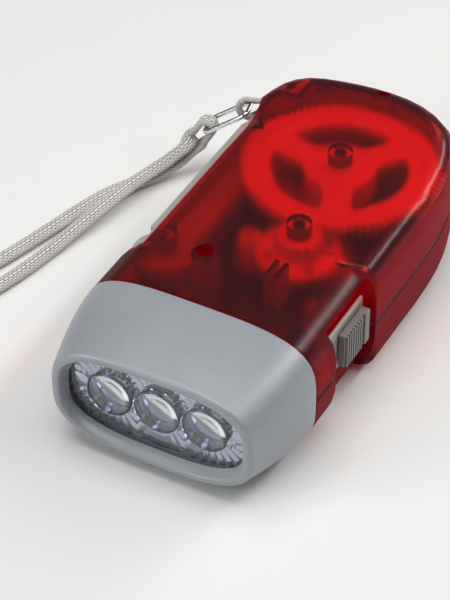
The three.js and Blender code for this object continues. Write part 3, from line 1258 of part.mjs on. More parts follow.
const postProfile = [
  [0, -WALL], [REFLECTOR_POST_RADIUS, -WALL],
  [REFLECTOR_POST_RADIUS, REFLECTOR_POST_LENGTH], [0, REFLECTOR_POST_LENGTH],
];
[-LAMP_SPACING / 2, LAMP_SPACING / 2].forEach((x) => {
  reflector = reflector.add(turnedAlongY(
    postProfile, x, reflectorBack, MIDDLE + LED_BOARD_HALF_HEIGHT - REFLECTOR_POST_RADIUS, AXLE_SIDES,
  ));
});
addPiece('reflector', reflector, materials.chrome);

// Lamps and the board that carries them
const ledBase = boardFront - CLEARANCE;
const ledProfile = [
  [0, 0], [LED_FLANGE_RADIUS, 0], [LED_FLANGE_RADIUS, -LED_FLANGE_HEIGHT], [LED_RADIUS, -LED_FLANGE_HEIGHT],
];
for (let i = 0; i <= LED_STEPS; i += 1) {
  const angle = ((Math.PI / 2) * i) / LED_STEPS;
  ledProfile.push([LED_RADIUS * Math.cos(angle), LED_RADIUS - LED_LENGTH - LED_RADIUS * Math.sin(angle)]);
}
ledProfile[ledProfile.length - 1][0] = 0;
['led_left', 'led_centre', 'led_right'].forEach((name, i) => {
  addPiece(name, turnedAlongY(ledProfile, lampXs[i], ledBase, MIDDLE, LED_SIDES), materials.clearPlastic);
});
addPiece(
  'led_board',
  box(
    -LED_BOARD_HALF_WIDTH, LED_BOARD_HALF_WIDTH,
    boardFront, boardFront + BOARD_THICKNESS,
    MIDDLE - LED_BOARD_HALF_HEIGHT, MIDDLE + LED_BOARD_HALF_HEIGHT,
  ),
  materials.board,
);

// Rechargeable battery in its cradle, with a raised contact at each end
const batteryProfile = [
  [0, -BATTERY_CAP_RISE], [BATTERY_CAP_RADIUS, -BATTERY_CAP_RISE], [BATTERY_CAP_RADIUS, 0],
  [BATTERY_RADIUS, 0], [BATTERY_RADIUS, BATTERY_LENGTH], [BATTERY_CAP_RADIUS, BATTERY_LENGTH],
  [BATTERY_CAP_RADIUS, BATTERY_LENGTH + BATTERY_CAP_RISE], [0, BATTERY_LENGTH + BATTERY_CAP_RISE],
];
const batteryGeometry = new THREE.LatheGeometry(
  batteryProfile.map(([radius, place]) => new THREE.Vector2(radius, place)), COLUMN_SIDES,
).rotateZ(-Math.PI / 2).translate(batteryX, BATTERY_Y, batteryAxisZ);
addPiece('battery_pack', toSolid(batteryGeometry), materials.wrap);

// Charging board with its capacitor and bridge
const circuitTop = circuitBase + BOARD_THICKNESS;
const capacitorAt = new THREE.Vector2(
  CIRCUIT_X + CIRCUIT_WIDTH - 1.5 * CAPACITOR_RADIUS, CIRCUIT_Y + CIRCUIT_DEPTH / 2,
);
const circuit = box(
  CIRCUIT_X, CIRCUIT_X + CIRCUIT_WIDTH,
  CIRCUIT_Y, CIRCUIT_Y + CIRCUIT_DEPTH,
  circuitBase, circuitTop,
)
  .add(cylinder(capacitorAt, CAPACITOR_RADIUS, circuitTop - BOARD_THICKNESS / 2, circuitTop + CAPACITOR_HEIGHT))
  .add(box(
    CIRCUIT_X + CHIP_WIDTH / 2, CIRCUIT_X + 1.5 * CHIP_WIDTH,
    CIRCUIT_Y + (CIRCUIT_DEPTH - CHIP_WIDTH) / 2, CIRCUIT_Y + (CIRCUIT_DEPTH + CHIP_WIDTH) / 2,
    circuitTop - BOARD_THICKNESS / 2, circuitTop + CHIP_HEIGHT,
  ));
addPiece('circuit_board', circuit, materials.board);

// Slide switch: a plate in the recess, a ribbed knob with a stem, and the switch behind the wall
const plateInner = RECESS_FACE + CLEARANCE;
const plateOuter = plateInner + PLATE_THICKNESS;
const plateOutline = new THREE.Shape([
  new THREE.Vector2(-plateBase - PLATE_HEIGHT, PLATE_FRONT),
  new THREE.Vector2(-plateBase, PLATE_FRONT),
  new THREE.Vector2(-plateBase, PLATE_BACK),
  new THREE.Vector2(-plateBase - PLATE_HEIGHT, PLATE_BACK),
]);
const switchPlate = toSolid(
  prismGeometry(plateOutline, plateInner, plateOuter, PLATE_CHAMFER).rotateY(Math.PI / 2),
).subtract(stemSlot);
addPiece('switch_plate', switchPlate, materials.greyPlastic);

const knobBack = PLATE_BACK - KNOB_BACK_GAP;
const knobFront = knobBack - KNOB_LENGTH;
const knobInner = plateOuter + CLEARANCE;
const knobFace = knobInner + KNOB_RISE;
const switchZ = plateBase + PLATE_HEIGHT / 2;
const stemMiddle = (knobFront + knobBack) / 2;
let knob = box(
  knobInner, knobFace,
  knobFront, knobBack,
  switchZ - KNOB_HEIGHT / 2, switchZ + KNOB_HEIGHT / 2,
)
  .add(box(
    knobFace - KNOB_RISE / 2, knobFace + KNOB_RIB_RISE,
    knobBack - KNOB_BLOCK_LENGTH, knobBack,
    switchZ - KNOB_HEIGHT / 2, switchZ + KNOB_HEIGHT / 2,
  ))
  .add(box(
    switchOuter - SWITCH_SLOT_DEPTH + CLEARANCE, knobInner + KNOB_RISE / 2,
    stemMiddle - STEM_LENGTH / 2, stemMiddle + STEM_LENGTH / 2,
    switchZ - STEM_HEIGHT / 2, switchZ + STEM_HEIGHT / 2,
  ));
for (let i = 0; i < KNOB_RIB_COUNT; i += 1) {
  const y = knobFront + KNOB_RIB_PITCH * i + KNOB_RIB_WIDTH / 2;
  knob = knob.add(box(
    knobFace - KNOB_RISE / 2, knobFace + KNOB_RIB_RISE,
    y, y + KNOB_RIB_WIDTH,
    switchZ - KNOB_HEIGHT / 2, switchZ + KNOB_HEIGHT / 2,
  ));
}
addPiece('switch_knob', knob, materials.greyPlastic);

const switchBody = box(
  switchOuter - SWITCH_DEPTH, switchOuter,
  stemMiddle - SWITCH_LENGTH / 2 - KNOB_TRAVEL / 2, stemMiddle + SWITCH_LENGTH / 2 - KNOB_TRAVEL / 2,
  switchZ - SWITCH_HEIGHT / 2, switchZ + SWITCH_HEIGHT / 2,
).subtract(box(
  switchOuter - SWITCH_SLOT_DEPTH, switchOuter + OVERRUN,
  stemMiddle - STEM_LENGTH / 2 - KNOB_TRAVEL - CLEARANCE, stemMiddle + STEM_LENGTH / 2 + CLEARANCE,
  switchZ - STEM_HEIGHT / 2 - CLEARANCE, switchZ + STEM_HEIGHT / 2 + CLEARANCE,
));
addPiece('switch_body', switchBody, materials.steel);

// Strap hardware: a pin across the pocket, a braided tether, a bright link and the strap's hitch
addPiece(
  'strap_pin',
  pin(strapPin, STRAP_PIN_RADIUS, pocketBase - POCKET_FLOOR, pocketRoof + STRAP_PIN_GRIP),
  materials.steel,
);
const up = new THREE.Vector3(0, 0, 1);

function bearingVector(degrees, dropDegrees) {
  const flat = pointFrom({ x: 0, y: 0 }, Math.cos(radians(dropDegrees)), degrees);
  return new THREE.Vector3(flat.x, flat.y, -Math.sin(radians(dropDegrees)));
}

const tetherZ = STRAP_HEIGHT_SHARE * BODY_HEIGHT;
const tetherAlong = bearingVector(TETHER_BEARING_DEGREES, TETHER_DROP_DEGREES);
const tetherStart = new THREE.Vector3(strapPin.x, strapPin.y, tetherZ)
  .addScaledVector(tetherAlong, -TETHER_HALF_WIDTH);
addPiece(
  'strap_tether',
  ringTube(
    twistedLoop(
      tetherStart, tetherAlong, up.clone().cross(tetherAlong).normalize(),
      TETHER_LENGTH, TETHER_HALF_WIDTH, radians(TETHER_TWIST_DEGREES), RING_STEPS,
    ),
    TETHER_RADIUS, TETHER_SIDES,
  ),
  materials.braid,
);

const linkAlong = bearingVector(LINK_BEARING_DEGREES, LINK_DROP_DEGREES);
const linkSide = up.clone().cross(linkAlong).normalize();
const linkRise = linkAlong.clone().cross(linkSide).normalize();
const linkStart = tetherStart.clone().addScaledVector(tetherAlong, TETHER_LENGTH - TETHER_HALF_WIDTH);
const linkMiddle = linkStart.clone().addScaledVector(linkAlong, LINK_LENGTH / 2);
const linkPath = superellipse(LINK_LENGTH / 2, LINK_HALF_WIDTH, LINK_EXPONENT, RING_STEPS).map((place) => ({
  point: linkMiddle.clone().addScaledVector(linkAlong, place.x).addScaledVector(linkSide, place.y),
  across: linkRise,
}));
addPiece('strap_link', ringTube(linkPath, LINK_RADIUS, LINK_SIDES), materials.chrome);

// The hitch is the strap's own fold round the link: a U with two straight legs
const linkEnd = linkStart.clone().addScaledVector(linkAlong, LINK_LENGTH);
const hitchAlong = bearingVector(LINK_BEARING_DEGREES, HITCH_DROP_DEGREES);
const hitchRise = hitchAlong.clone().cross(linkSide).normalize();
const foldInner = LINK_RADIUS + CLEARANCE;
const foldOuter = foldInner + CORD_THICKNESS;
const hitchOutline = [];
for (let i = 0; i <= HITCH_STEPS; i += 1) {
  hitchOutline.push(pointFrom({ x: 0, y: 0 }, foldOuter, 90 + (180 * i) / HITCH_STEPS));
}
hitchOutline.push(new THREE.Vector2(HITCH_LEG, -foldOuter));
hitchOutline.push(new THREE.Vector2(HITCH_LEG, -foldInner));
for (let i = 0; i <= HITCH_STEPS; i += 1) {
  hitchOutline.push(pointFrom({ x: 0, y: 0 }, foldInner, 270 - (180 * i) / HITCH_STEPS));
}
hitchOutline.push(new THREE.Vector2(HITCH_LEG, foldInner));
hitchOutline.push(new THREE.Vector2(HITCH_LEG, foldOuter));
const hitchGeometry = prismGeometry(new THREE.Shape(hitchOutline), -CORD_WIDTH / 2, CORD_WIDTH / 2);
const hitchFrame = new THREE.Matrix4().makeBasis(hitchAlong, hitchRise, linkSide.clone().negate());
hitchGeometry.applyMatrix4(hitchFrame).translate(linkEnd.x, linkEnd.y, linkEnd.z);
addPiece('strap_hitch', toSolid(hitchGeometry), materials.braid);

// The strap's cord: one flat braid from the hitch's upper leg, round its loop, to the lower leg
const legMiddle = (foldInner + foldOuter) / 2;
const legEnd = linkEnd.clone().addScaledVector(hitchAlong, HITCH_LEG + CLEARANCE);
const legRun = linkEnd.clone().addScaledVector(hitchAlong, HITCH_LEG + CLEARANCE + CORD_WIDTH / 2);
const cordPath = new THREE.CatmullRomCurve3([
  legEnd.clone().addScaledVector(hitchRise, legMiddle),
  legRun.clone().addScaledVector(hitchRise, legMiddle),
  ...CORD_ROUTE.map(([x, y, z]) => new THREE.Vector3(x, y, z)),
  legRun.clone().addScaledVector(hitchRise, -legMiddle),
  legEnd.clone().addScaledVector(hitchRise, -legMiddle),
], false, 'centripetal');
const cordFrames = cordPath.computeFrenetFrames(CORD_STEPS, false);
const flatTurn = Math.atan2(
  cordFrames.binormals[CORD_STEPS / 2].z, cordFrames.normals[CORD_STEPS / 2].z,
);
const cordSection = new THREE.Shape(Array.from({ length: CORD_SIDES }, (_, i) => {
  const angle = (2 * Math.PI * (i + 0.5)) / CORD_SIDES;
  const along = (CORD_THICKNESS / 2) * Math.cos(angle);
  const across = (CORD_WIDTH / 2) * Math.sin(angle);
  return new THREE.Vector2(
    along * Math.cos(flatTurn) - across * Math.sin(flatTurn),
    along * Math.sin(flatTurn) + across * Math.cos(flatTurn),
  );
}));
addPiece(
  'strap_cord',
  toSolid(new THREE.ExtrudeGeometry(cordSection, { extrudePath: cordPath, steps: CORD_STEPS })),
  materials.braid,
);
console.log(`strap cord: ${cordPath.getLength().toFixed(1)} mm long`);

export default group;
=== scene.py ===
# %% [markdown]
# # A squeeze-lever torch with a clear red body
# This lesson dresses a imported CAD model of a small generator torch. A side lever turns a gear
# train, and the gears show through the red shell. The CAD gives every size and every joint.
# Here each visible piece gets its fine shape, its surface and its light.

# %% Load the frame
import json
import math
from math import cos, pi, sin

import bmesh
import bpy
from mathutils import Matrix, Quaternion, Vector

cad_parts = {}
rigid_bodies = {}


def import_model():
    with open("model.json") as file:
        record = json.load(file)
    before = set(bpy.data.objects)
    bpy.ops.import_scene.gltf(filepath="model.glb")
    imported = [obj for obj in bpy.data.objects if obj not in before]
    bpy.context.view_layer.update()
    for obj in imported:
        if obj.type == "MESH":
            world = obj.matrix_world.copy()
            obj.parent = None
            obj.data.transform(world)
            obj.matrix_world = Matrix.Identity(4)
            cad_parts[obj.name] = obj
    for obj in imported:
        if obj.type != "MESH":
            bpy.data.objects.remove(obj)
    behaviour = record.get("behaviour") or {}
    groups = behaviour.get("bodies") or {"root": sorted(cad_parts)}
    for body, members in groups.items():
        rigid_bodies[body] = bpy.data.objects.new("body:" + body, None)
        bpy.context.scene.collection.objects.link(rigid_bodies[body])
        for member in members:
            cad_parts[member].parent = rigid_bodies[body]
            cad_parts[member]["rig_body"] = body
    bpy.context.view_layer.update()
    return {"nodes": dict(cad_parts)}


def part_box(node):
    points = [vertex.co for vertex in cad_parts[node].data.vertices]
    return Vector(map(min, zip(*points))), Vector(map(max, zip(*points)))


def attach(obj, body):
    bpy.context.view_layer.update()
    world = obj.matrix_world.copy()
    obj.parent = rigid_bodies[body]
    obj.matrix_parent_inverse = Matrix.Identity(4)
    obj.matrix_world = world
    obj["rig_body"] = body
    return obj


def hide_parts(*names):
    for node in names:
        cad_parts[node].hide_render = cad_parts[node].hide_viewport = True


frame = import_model()
MM = 0.001

# %% [markdown]
# ## Colour
# Colours are picked as sRGB hex values, as a paint chart gives them. Blender's sockets want
# linear light, so one function turns a hex value into linear red, green, blue and alpha.

# %% One function for colour
def linear(hex_value):
    channels = [int(hex_value[i:i + 2], 16) / 255 for i in (1, 3, 5)]
    return tuple(c / 12.92 if c <= 0.04045 else ((c + 0.055) / 1.055) ** 2.4 for c in channels) + (1.0,)


print("middle grey in linear light", round(linear("#808080")[0], 3))


# %% [markdown]
# ## Nodes
# A material is a small graph. One function adds a node, sets its sockets, its properties and the
# two stops of a colour ramp, and joins its inputs to other nodes' outputs, so each finish below
# reads as a list of steps. A noise texture wants a scale, and people think in millimetres, so a
# second function turns the size of a grain into that scale.

# %% Functions for nodes
def add_node(tree, kind, settings=None, links=None, ramp=(), **properties):
    node = tree.nodes.new(kind)
    for name, value in properties.items():
        setattr(node, name, value)
    for socket, value in (settings or {}).items():
        node.inputs[socket].default_value = value
    for socket, output in (links or {}).items():
        tree.links.new(output, node.inputs[socket])
    for i, (position, hex_value) in enumerate(ramp):
        node.color_ramp.elements[i].position = position
        node.color_ramp.elements[i].color = linear(hex_value)
    return node


def new_material(name):
    """An empty material, its node tree and the coordinates that its patterns are laid out by."""
    material = bpy.data.materials.new(name)
    material.use_nodes = True
    material.node_tree.nodes.clear()
    coordinates = add_node(material.node_tree, "ShaderNodeTexCoord")
    print("material:", name)
    return material, material.node_tree, coordinates.outputs


def noise_scale(grain_mm):
    """The scale at which a light patch of the noise, or a dark one, is about one grain across."""
    return 1 / (2 * grain_mm * MM)


# %% [markdown]
# ## Camera
# The camera stands in front of the lamp, to its right and well above it, as in the photograph.
# Its place and focal length were worked out from the outline of the body, so the model falls on
# the same pixels. A long lens keeps the sides almost parallel. One function makes an object of a
# camera, a mesh or a lamp, and puts it in the scene.

# %% Camera
def new_object(name, data):
    made = bpy.data.objects.new(name, data)
    bpy.context.scene.collection.objects.link(made)
    return made


CAMERA_PLACE = Vector((183.7, -358.8, 355.3)) * MM
CAMERA_TARGET = Vector((10.51, -40.39, 40.65)) * MM
SENSOR_HEIGHT = 36
FOCAL_LENGTH = 157.3
camera_data = bpy.data.cameras.new("camera")
camera_data.sensor_fit = "VERTICAL"
camera_data.sensor_height = SENSOR_HEIGHT
camera_data.lens = FOCAL_LENGTH
camera_data.clip_start = 10 * MM
camera = new_object("camera", camera_data)
camera.location = CAMERA_PLACE
camera.rotation_euler = (CAMERA_TARGET - CAMERA_PLACE).to_track_quat("-Z", "Y").to_euler()
bpy.context.scene.camera = camera
print("camera distance", round((CAMERA_TARGET - CAMERA_PLACE).length, 3), "m")


# %% [markdown]
# ## Making a mesh
# Most new pieces are skins: rings of points joined by four-sided faces, as a tent is stretched
# over hoops. A piece could also be a primitive with modifiers, but rings put each point where the
# form needs it. One function skins rings of equal size, and another lays round rings along a
# path, which makes a wire.

# %% Skins
X_AXIS = Vector((1, 0, 0))
Y_AXIS = Vector((0, 1, 0))
UP = Vector((0, 0, 1))


def skin_faces(ring_count, ring_size, closed):
    faces = []
    for i in range(ring_count if closed else ring_count - 1):
        ahead = (i + 1) % ring_count
        for j in range(ring_size):
            beside = (j + 1) % ring_size
            faces.append((i * ring_size + j, i * ring_size + beside,
                          ahead * ring_size + beside, ahead * ring_size + j))
    if not closed:
        faces.append(tuple(reversed(range(ring_size))))
        faces.append(tuple(range((ring_count - 1) * ring_size, ring_count * ring_size)))
    return faces


def skin(name, rings, closed=False, sharp_degrees=None):
    """A smooth piece of the torch's body, with sharp edges only where faces meet past an angle."""
    mesh = bpy.data.meshes.new(name)
    points = [tuple(point) for ring in rings for point in ring]
    mesh.from_pydata(points, [], skin_faces(len(rings), len(rings[0]), closed))
    mesh.validate()
    mesh.shade_smooth()
    form = bmesh.new()
    form.from_mesh(mesh)
    bmesh.ops.recalc_face_normals(form, faces=form.faces)
    form.to_mesh(mesh)
    form.free()
    if sharp_degrees:
        mesh.set_sharp_from_angle(angle=math.radians(sharp_degrees))
    piece = new_object(name, mesh)
    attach(piece, "torch_body")
    print(name, "faces", len(mesh.polygons))
    return piece


# %% Rings and wires
def signed_power(value, power):
    """A power that keeps the sign. It squares a circle's corners, for powers under 1."""
    return math.copysign(abs(value) ** power, value)


def circle(centre, side, square, radius, sides):
    turns = [2 * pi * j / sides for j in range(sides)]
    return [centre + side * radius * cos(turn) + square * radius * sin(turn) for turn in turns]


def neighbours(points, i, closed=False):
    """The points before and after a point, past the end where the path is closed."""
    if closed:
        return points[i - 1], points[(i + 1) % len(points)]
    return points[max(i - 1, 0)], points[min(i + 1, len(points) - 1)]


def wire(name, points, radius, sides, reference, closed=False):
    """Round wire along a path. The reference is a direction that the wire never runs in."""
    rings = []
    for i, point in enumerate(points):
        behind, ahead = neighbours(points, i, closed)
        tangent = (ahead - behind).normalized()
        side = reference.cross(tangent).normalized()
        rings.append(circle(point, side, tangent.cross(side), radius, sides))
    return skin(name, rings, closed)


# %% [markdown]
# ## The wrist strap's places
# The strap is one flat tubular braid. It leaves its fold on the bright link, drops to the floor,
# lies in a long loop and comes back to the fold. The tether, the link and the fold hang in a
# chain from a pin in the tail, so each is placed from the one before: a heading gives its
# direction, as a bearing round the body and a drop below level.

# %% Strap places
STRAP_HEIGHT_SHARE = 0.7965
TETHER_LENGTH = 14.7 * MM
TETHER_HALF_WIDTH = 2.25 * MM
TETHER_BEARING = 203.8
TETHER_DROP = 21.4
LINK_LENGTH = 11.6 * MM
LINK_HALF_WIDTH = 2.7 * MM
LINK_RADIUS = 0.55 * MM
LINK_BEARING = 192
LINK_DROP = 36
BRAID_WIDTH = 3.6 * MM
BRAID_THICKNESS = 1.5 * MM
FOLD_LEG = 2.2 * MM
FOLD_DROP = 60
GAP = 0.3 * MM


def heading(bearing_degrees, drop_degrees):
    bearing = math.radians(bearing_degrees)
    drop = math.radians(drop_degrees)
    return Vector((cos(drop) * cos(bearing), cos(drop) * sin(bearing), -sin(drop)))


def middle_of(node):
    low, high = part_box(node)
    return (low + high) / 2


pin_centre = middle_of("strap_pin")
pin_centre.z = STRAP_HEIGHT_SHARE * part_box("upper_shell")[1].z
tether_along = heading(TETHER_BEARING, TETHER_DROP)
tether_start = pin_centre - tether_along * TETHER_HALF_WIDTH
link_along = heading(LINK_BEARING, LINK_DROP)
link_side = UP.cross(link_along).normalized()
link_rise = link_along.cross(link_side).normalized()
link_start = tether_start + tether_along * (TETHER_LENGTH - TETHER_HALF_WIDTH)
link_end = link_start + link_along * LINK_LENGTH
fold_radius = LINK_RADIUS + GAP + BRAID_THICKNESS / 2
fold_along = heading(LINK_BEARING, FOLD_DROP)
fold_rise = fold_along.cross(link_side).normalized() * fold_radius
fold_leg = fold_along * (FOLD_LEG + GAP)
leg_end = link_end + fold_leg
leg_run = leg_end + fold_along * BRAID_WIDTH / 2
print("link ends", [round(value / MM, 2) for value in link_end])

# %% [markdown]
# ## The strap's route
# The route's points, in millimetres, are the ones that the CAD's cord follows. A spline goes
# through them all with no handles to set, and the centripetal kind makes no loops where points
# lie close together. Points at even steps along it carry the braid.

# %% Strap route
SPLINE_STEPS = 24
FLOOR_ROUTE = [
    (-39.7, 34.3, 7.4), (-41.8, 31.6, 5.1), (-43.6, 28.8, 3.75), (-45, 26, 3.1),
    (-46, 23, 2.85), (-46.8, 19.4, 2.75), (-47.4, 15.2, 2.7), (-48.1, 11.1, 2.55),
    (-48.9, 7.3, 2.2), (-49.8, 3.7, 1.6), (-51.4, -3.6, 0.85), (-52.9, -11.4, 0.85),
    (-54.7, -18.3, 0.85), (-57, -26, 0.85), (-58.9, -34, 0.85), (-60.4, -42.4, 0.85),
    (-62.2, -50.8, 0.85), (-65.2, -56.6, 0.85), (-69.6, -55.6, 0.85), (-71.6, -49, 0.85),
    (-70, -40.5, 0.85), (-66.4, -30.5, 0.85), (-62.2, -20.5, 0.85), (-59, -11.4, 0.85),
    (-57, -4.7, 0.85), (-55.1, 2.3, 0.85), (-53.2, 9.8, 0.85), (-51.2, 16.7, 0.85),
    (-49.4, 20.8, 0.9), (-47.8, 23.4, 1), (-46.2, 25.5, 1.2), (-44.7, 27.6, 1.5),
    (-43, 29.9, 2.05), (-40.9, 32.7, 3.35), (-38.9, 35.5, 5.5),
]
route = [leg_end + fold_rise, leg_run + fold_rise]
route += [Vector(point) * MM for point in FLOOR_ROUTE]
route += [leg_run - fold_rise, leg_end - fold_rise]


def curve_between(p0, p1, p2, p3):
    """Points of a centripetal spline through four points, from the second to the third."""
    t1 = (p1 - p0).length ** 0.5
    t2 = t1 + (p2 - p1).length ** 0.5
    t3 = t2 + (p3 - p2).length ** 0.5
    points = []
    for k in range(SPLINE_STEPS):
        t = t1 + (t2 - t1) * k / SPLINE_STEPS
        a1 = p0 * ((t1 - t) / t1) + p1 * (t / t1)
        a2 = p1 * ((t2 - t) / (t2 - t1)) + p2 * ((t - t1) / (t2 - t1))
        a3 = p2 * ((t3 - t) / (t3 - t2)) + p3 * ((t - t2) / (t3 - t2))
        b1 = a1 * ((t2 - t) / t2) + a2 * (t / t2)
        b2 = a2 * ((t3 - t) / (t3 - t1)) + a3 * ((t - t1) / (t3 - t1))
        points.append(b1 * ((t2 - t) / (t2 - t1)) + b2 * ((t - t1) / (t2 - t1)))
    return points


def smooth_path(points, step):
    """Points about a given step apart along a smooth curve through these points."""
    padded = [points[0] * 2 - points[1]] + points + [points[-1] * 2 - points[-2]]
    dense = []
    for four in zip(padded, padded[1:], padded[2:], padded[3:]):
        dense += curve_between(*four)
    dense.append(points[-1])
    lengths = [0.0]
    for a, b in zip(dense, dense[1:]):
        lengths.append(lengths[-1] + (b - a).length)
    steps = round(lengths[-1] / step)
    spaced = []
    k = 0
    for i in range(steps + 1):
        want = lengths[-1] * i / steps
        while k + 2 < len(lengths) and lengths[k + 1] < want:
            k += 1
        share = (want - lengths[k]) / (lengths[k + 1] - lengths[k])
        spaced.append(dense[k].lerp(dense[k + 1], share))
    return spaced


# %% [markdown]
# ## Braided cord
# The real strap is a tubular braid pressed flat. Its yarns show as rows of small blocks along the
# strap, each row half a block behind its neighbours, as bricks lie. Bump alone would leave the edge
# smooth, so the blocks are raised in the mesh itself. A point attribute keeps the height of each
# point, for the material to paint shade into the hollows.

# %% Braid
STITCH_LENGTH = 1.25 * MM
STITCH_RISE = 0.1 * MM
STITCH_FULLNESS = 0.4
ROWS_AROUND = 18
BRAID_SIDES = 72
BRAID_STEP = 0.16 * MM
BRAID_SQUARENESS = 0.8


def yarn_height(along, around):
    """How high a yarn stands, from 0 in a hollow to 1, at a length along and a share of a turn around."""
    row = around * ROWS_AROUND
    shift = 0.5 * (math.floor(row) % 2)
    across = 2 * (row % 1.0) - 1
    run = (along / STITCH_LENGTH + shift) % 1.0
    return (1 - across ** 2) ** 0.5 * sin(pi * run) ** STITCH_FULLNESS


def braid(name, points, crossways, width, thickness, closed=False):
    """A flat braid along a path, with the direction of its width at each point."""
    rings, heights, along = [], [], 0.0
    for i, (point, across) in enumerate(zip(points, crossways)):
        behind, ahead = neighbours(points, i, closed)
        tangent = (ahead - behind).normalized()
        wide = (across - tangent * across.dot(tangent)).normalized()
        thick = tangent.cross(wide)
        ring = []
        for j in range(BRAID_SIDES):
            angle = 2 * pi * j / BRAID_SIDES
            height = yarn_height(along, j / BRAID_SIDES)
            c, s = cos(angle), sin(angle)
            x = signed_power(c, BRAID_SQUARENESS) * (width / 2 - STITCH_RISE)
            y = signed_power(s, BRAID_SQUARENESS) * (thickness / 2 - STITCH_RISE)
            outward = (wide * c * thickness + thick * s * width).normalized()
            ring.append(point + wide * x + thick * y + outward * STITCH_RISE * height)
            heights.append(height)
        rings.append(ring)
        along += (ahead - point).length
    piece = skin(name, rings, closed)
    yarn = piece.data.attributes.new("yarn_height", "FLOAT", "POINT")
    yarn.data.foreach_set("value", heights)
    return piece


# %% Strap cord
cord_points = smooth_path(route, BRAID_STEP)
level = []
for i in range(len(cord_points)):
    behind, ahead = neighbours(cord_points, i)
    level.append(UP.cross(ahead - behind).normalized())
strap = braid("strap_braid", cord_points, level, BRAID_WIDTH, BRAID_THICKNESS)
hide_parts("strap_cord")

# %% Strap fold
LEG_STEPS = 8
TURN_STEPS = 24
fold_route = [leg_end + fold_rise - fold_leg * i / LEG_STEPS for i in range(LEG_STEPS + 1)]
for i in range(1, TURN_STEPS):
    angle = pi * i / TURN_STEPS
    fold_route.append(link_end + fold_rise * cos(angle) - fold_along * fold_radius * sin(angle))
fold_route += [link_end - fold_rise + fold_leg * i / LEG_STEPS for i in range(LEG_STEPS + 1)]
fold_points = smooth_path(fold_route, BRAID_STEP)
fold = braid("strap_fold", fold_points, [link_side] * len(fold_points), BRAID_WIDTH, BRAID_THICKNESS)
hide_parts("strap_hitch")

# %% [markdown]
# ## Tether and link
# The tether is a small loop of thinner braid. It lies flat on its pin and turns a quarter about
# its own length on the way to the link, so the turn grows smoothly along the loop. The link is
# an oblong of round wire, and a circle with squared corners gives its outline.

# %% Tether
TETHER_STEPS = 180
TETHER_TWIST = math.radians(90)
TETHER_BRAID_WIDTH = 1.7 * MM
TETHER_BRAID_THICKNESS = 1.5 * MM
straight = TETHER_LENGTH - 2 * TETHER_HALF_WIDTH
sideways = UP.cross(tether_along).normalized()
tether_points, tether_crossways = [], []
for i in range(TETHER_STEPS):
    angle = 2 * pi * (i + 0.5) / TETHER_STEPS
    round_end = TETHER_HALF_WIDTH + straight if cos(angle) > 0 else TETHER_HALF_WIDTH
    place = round_end + TETHER_HALF_WIDTH * cos(angle)
    share = min(1, max(0, (place - TETHER_HALF_WIDTH) / straight))
    side = Matrix.Rotation(TETHER_TWIST * share * share * (3 - 2 * share), 3, tether_along) @ sideways
    tether_points.append(tether_start + tether_along * place + side * TETHER_HALF_WIDTH * sin(angle))
    tether_crossways.append(tether_along.cross(side))
tether = braid("tether_loop", tether_points, tether_crossways, TETHER_BRAID_WIDTH, TETHER_BRAID_THICKNESS,
               closed=True)
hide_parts("strap_tether")

# %% Link
LINK_STEPS = 120
LINK_SIDES = 20
LINK_SQUARENESS = 1 / 3
link_points = []
for i in range(LINK_STEPS):
    angle = 2 * pi * (i + 0.5) / LINK_STEPS
    x = signed_power(cos(angle), LINK_SQUARENESS) * LINK_LENGTH / 2
    y = signed_power(sin(angle), LINK_SQUARENESS) * LINK_HALF_WIDTH
    link_points.append(link_start + link_along * (LINK_LENGTH / 2 + x) + link_side * y)
link = wire("link_ring", link_points, LINK_RADIUS, LINK_SIDES, link_rise, closed=True)
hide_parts("strap_link")

# %% [markdown]
# ## Rounded moulded pieces
# Every moulded edge is a little round, and that thin round is what catches the light. A CAD
# piece keeps its shape, so a copy of it is welded, its flat faces are merged, and it replaces the
# piece. On the switch, a bevel rounds every sharp edge. Weighted normals keep the large faces
# flat.

# %% Copies of CAD pieces
WELD_DISTANCE = 0.002 * MM
FLAT_DEGREES = 0.6
BEVEL_SEGMENTS = 2


def dressed_copy(node, name, bevel=0.0, sharp_degrees=35):
    source = frame["nodes"][node]
    mesh = source.data.copy()
    mesh.name = name
    mesh.materials.clear()
    if "custom_normal" in mesh.attributes:
        mesh.attributes.remove(mesh.attributes["custom_normal"])
    form = bmesh.new()
    form.from_mesh(mesh)
    bmesh.ops.remove_doubles(form, verts=form.verts, dist=WELD_DISTANCE)
    bmesh.ops.dissolve_limit(form, angle_limit=math.radians(FLAT_DEGREES), verts=form.verts, edges=form.edges)
    bmesh.ops.recalc_face_normals(form, faces=form.faces)
    for face in form.faces:
        face.smooth = True
    form.to_mesh(mesh)
    form.free()
    mesh.set_sharp_from_angle(angle=math.radians(sharp_degrees))
    piece = new_object(name, mesh)
    if bevel:
        rounding = piece.modifiers.new("rounded edges", "BEVEL")
        rounding.width = bevel
        rounding.segments = BEVEL_SEGMENTS
        rounding.limit_method = "ANGLE"
        rounding.angle_limit = math.radians(sharp_degrees)
    weighted = piece.modifiers.new("flat faces stay flat", "WEIGHTED_NORMAL")
    weighted.keep_sharp = True
    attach(piece, source["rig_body"])
    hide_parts(node)
    print("dressed copy:", name)
    return piece


# %% [markdown]
# ## The seam
# The two shells meet at mid height, and each has a small round there, so a fine dark groove runs
# round the torch. A bevel on every sharp edge would be clamped to nothing by the shells' many
# small edges. So only the outer edges at the seam get a bevel weight, and the bevel follows it.

# %% Seam
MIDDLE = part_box("upper_shell")[0].z
SEAM_ROUND = 0.45 * MM
SEAM_SEGMENTS = 3
SEAM_REACH = 0.35 * MM
CORE_HALF_WIDTH = 21 * MM
CORE_TAIL = 44 * MM
LEVEL_NORMAL = 0.9
UPRIGHT_NORMAL = 0.3


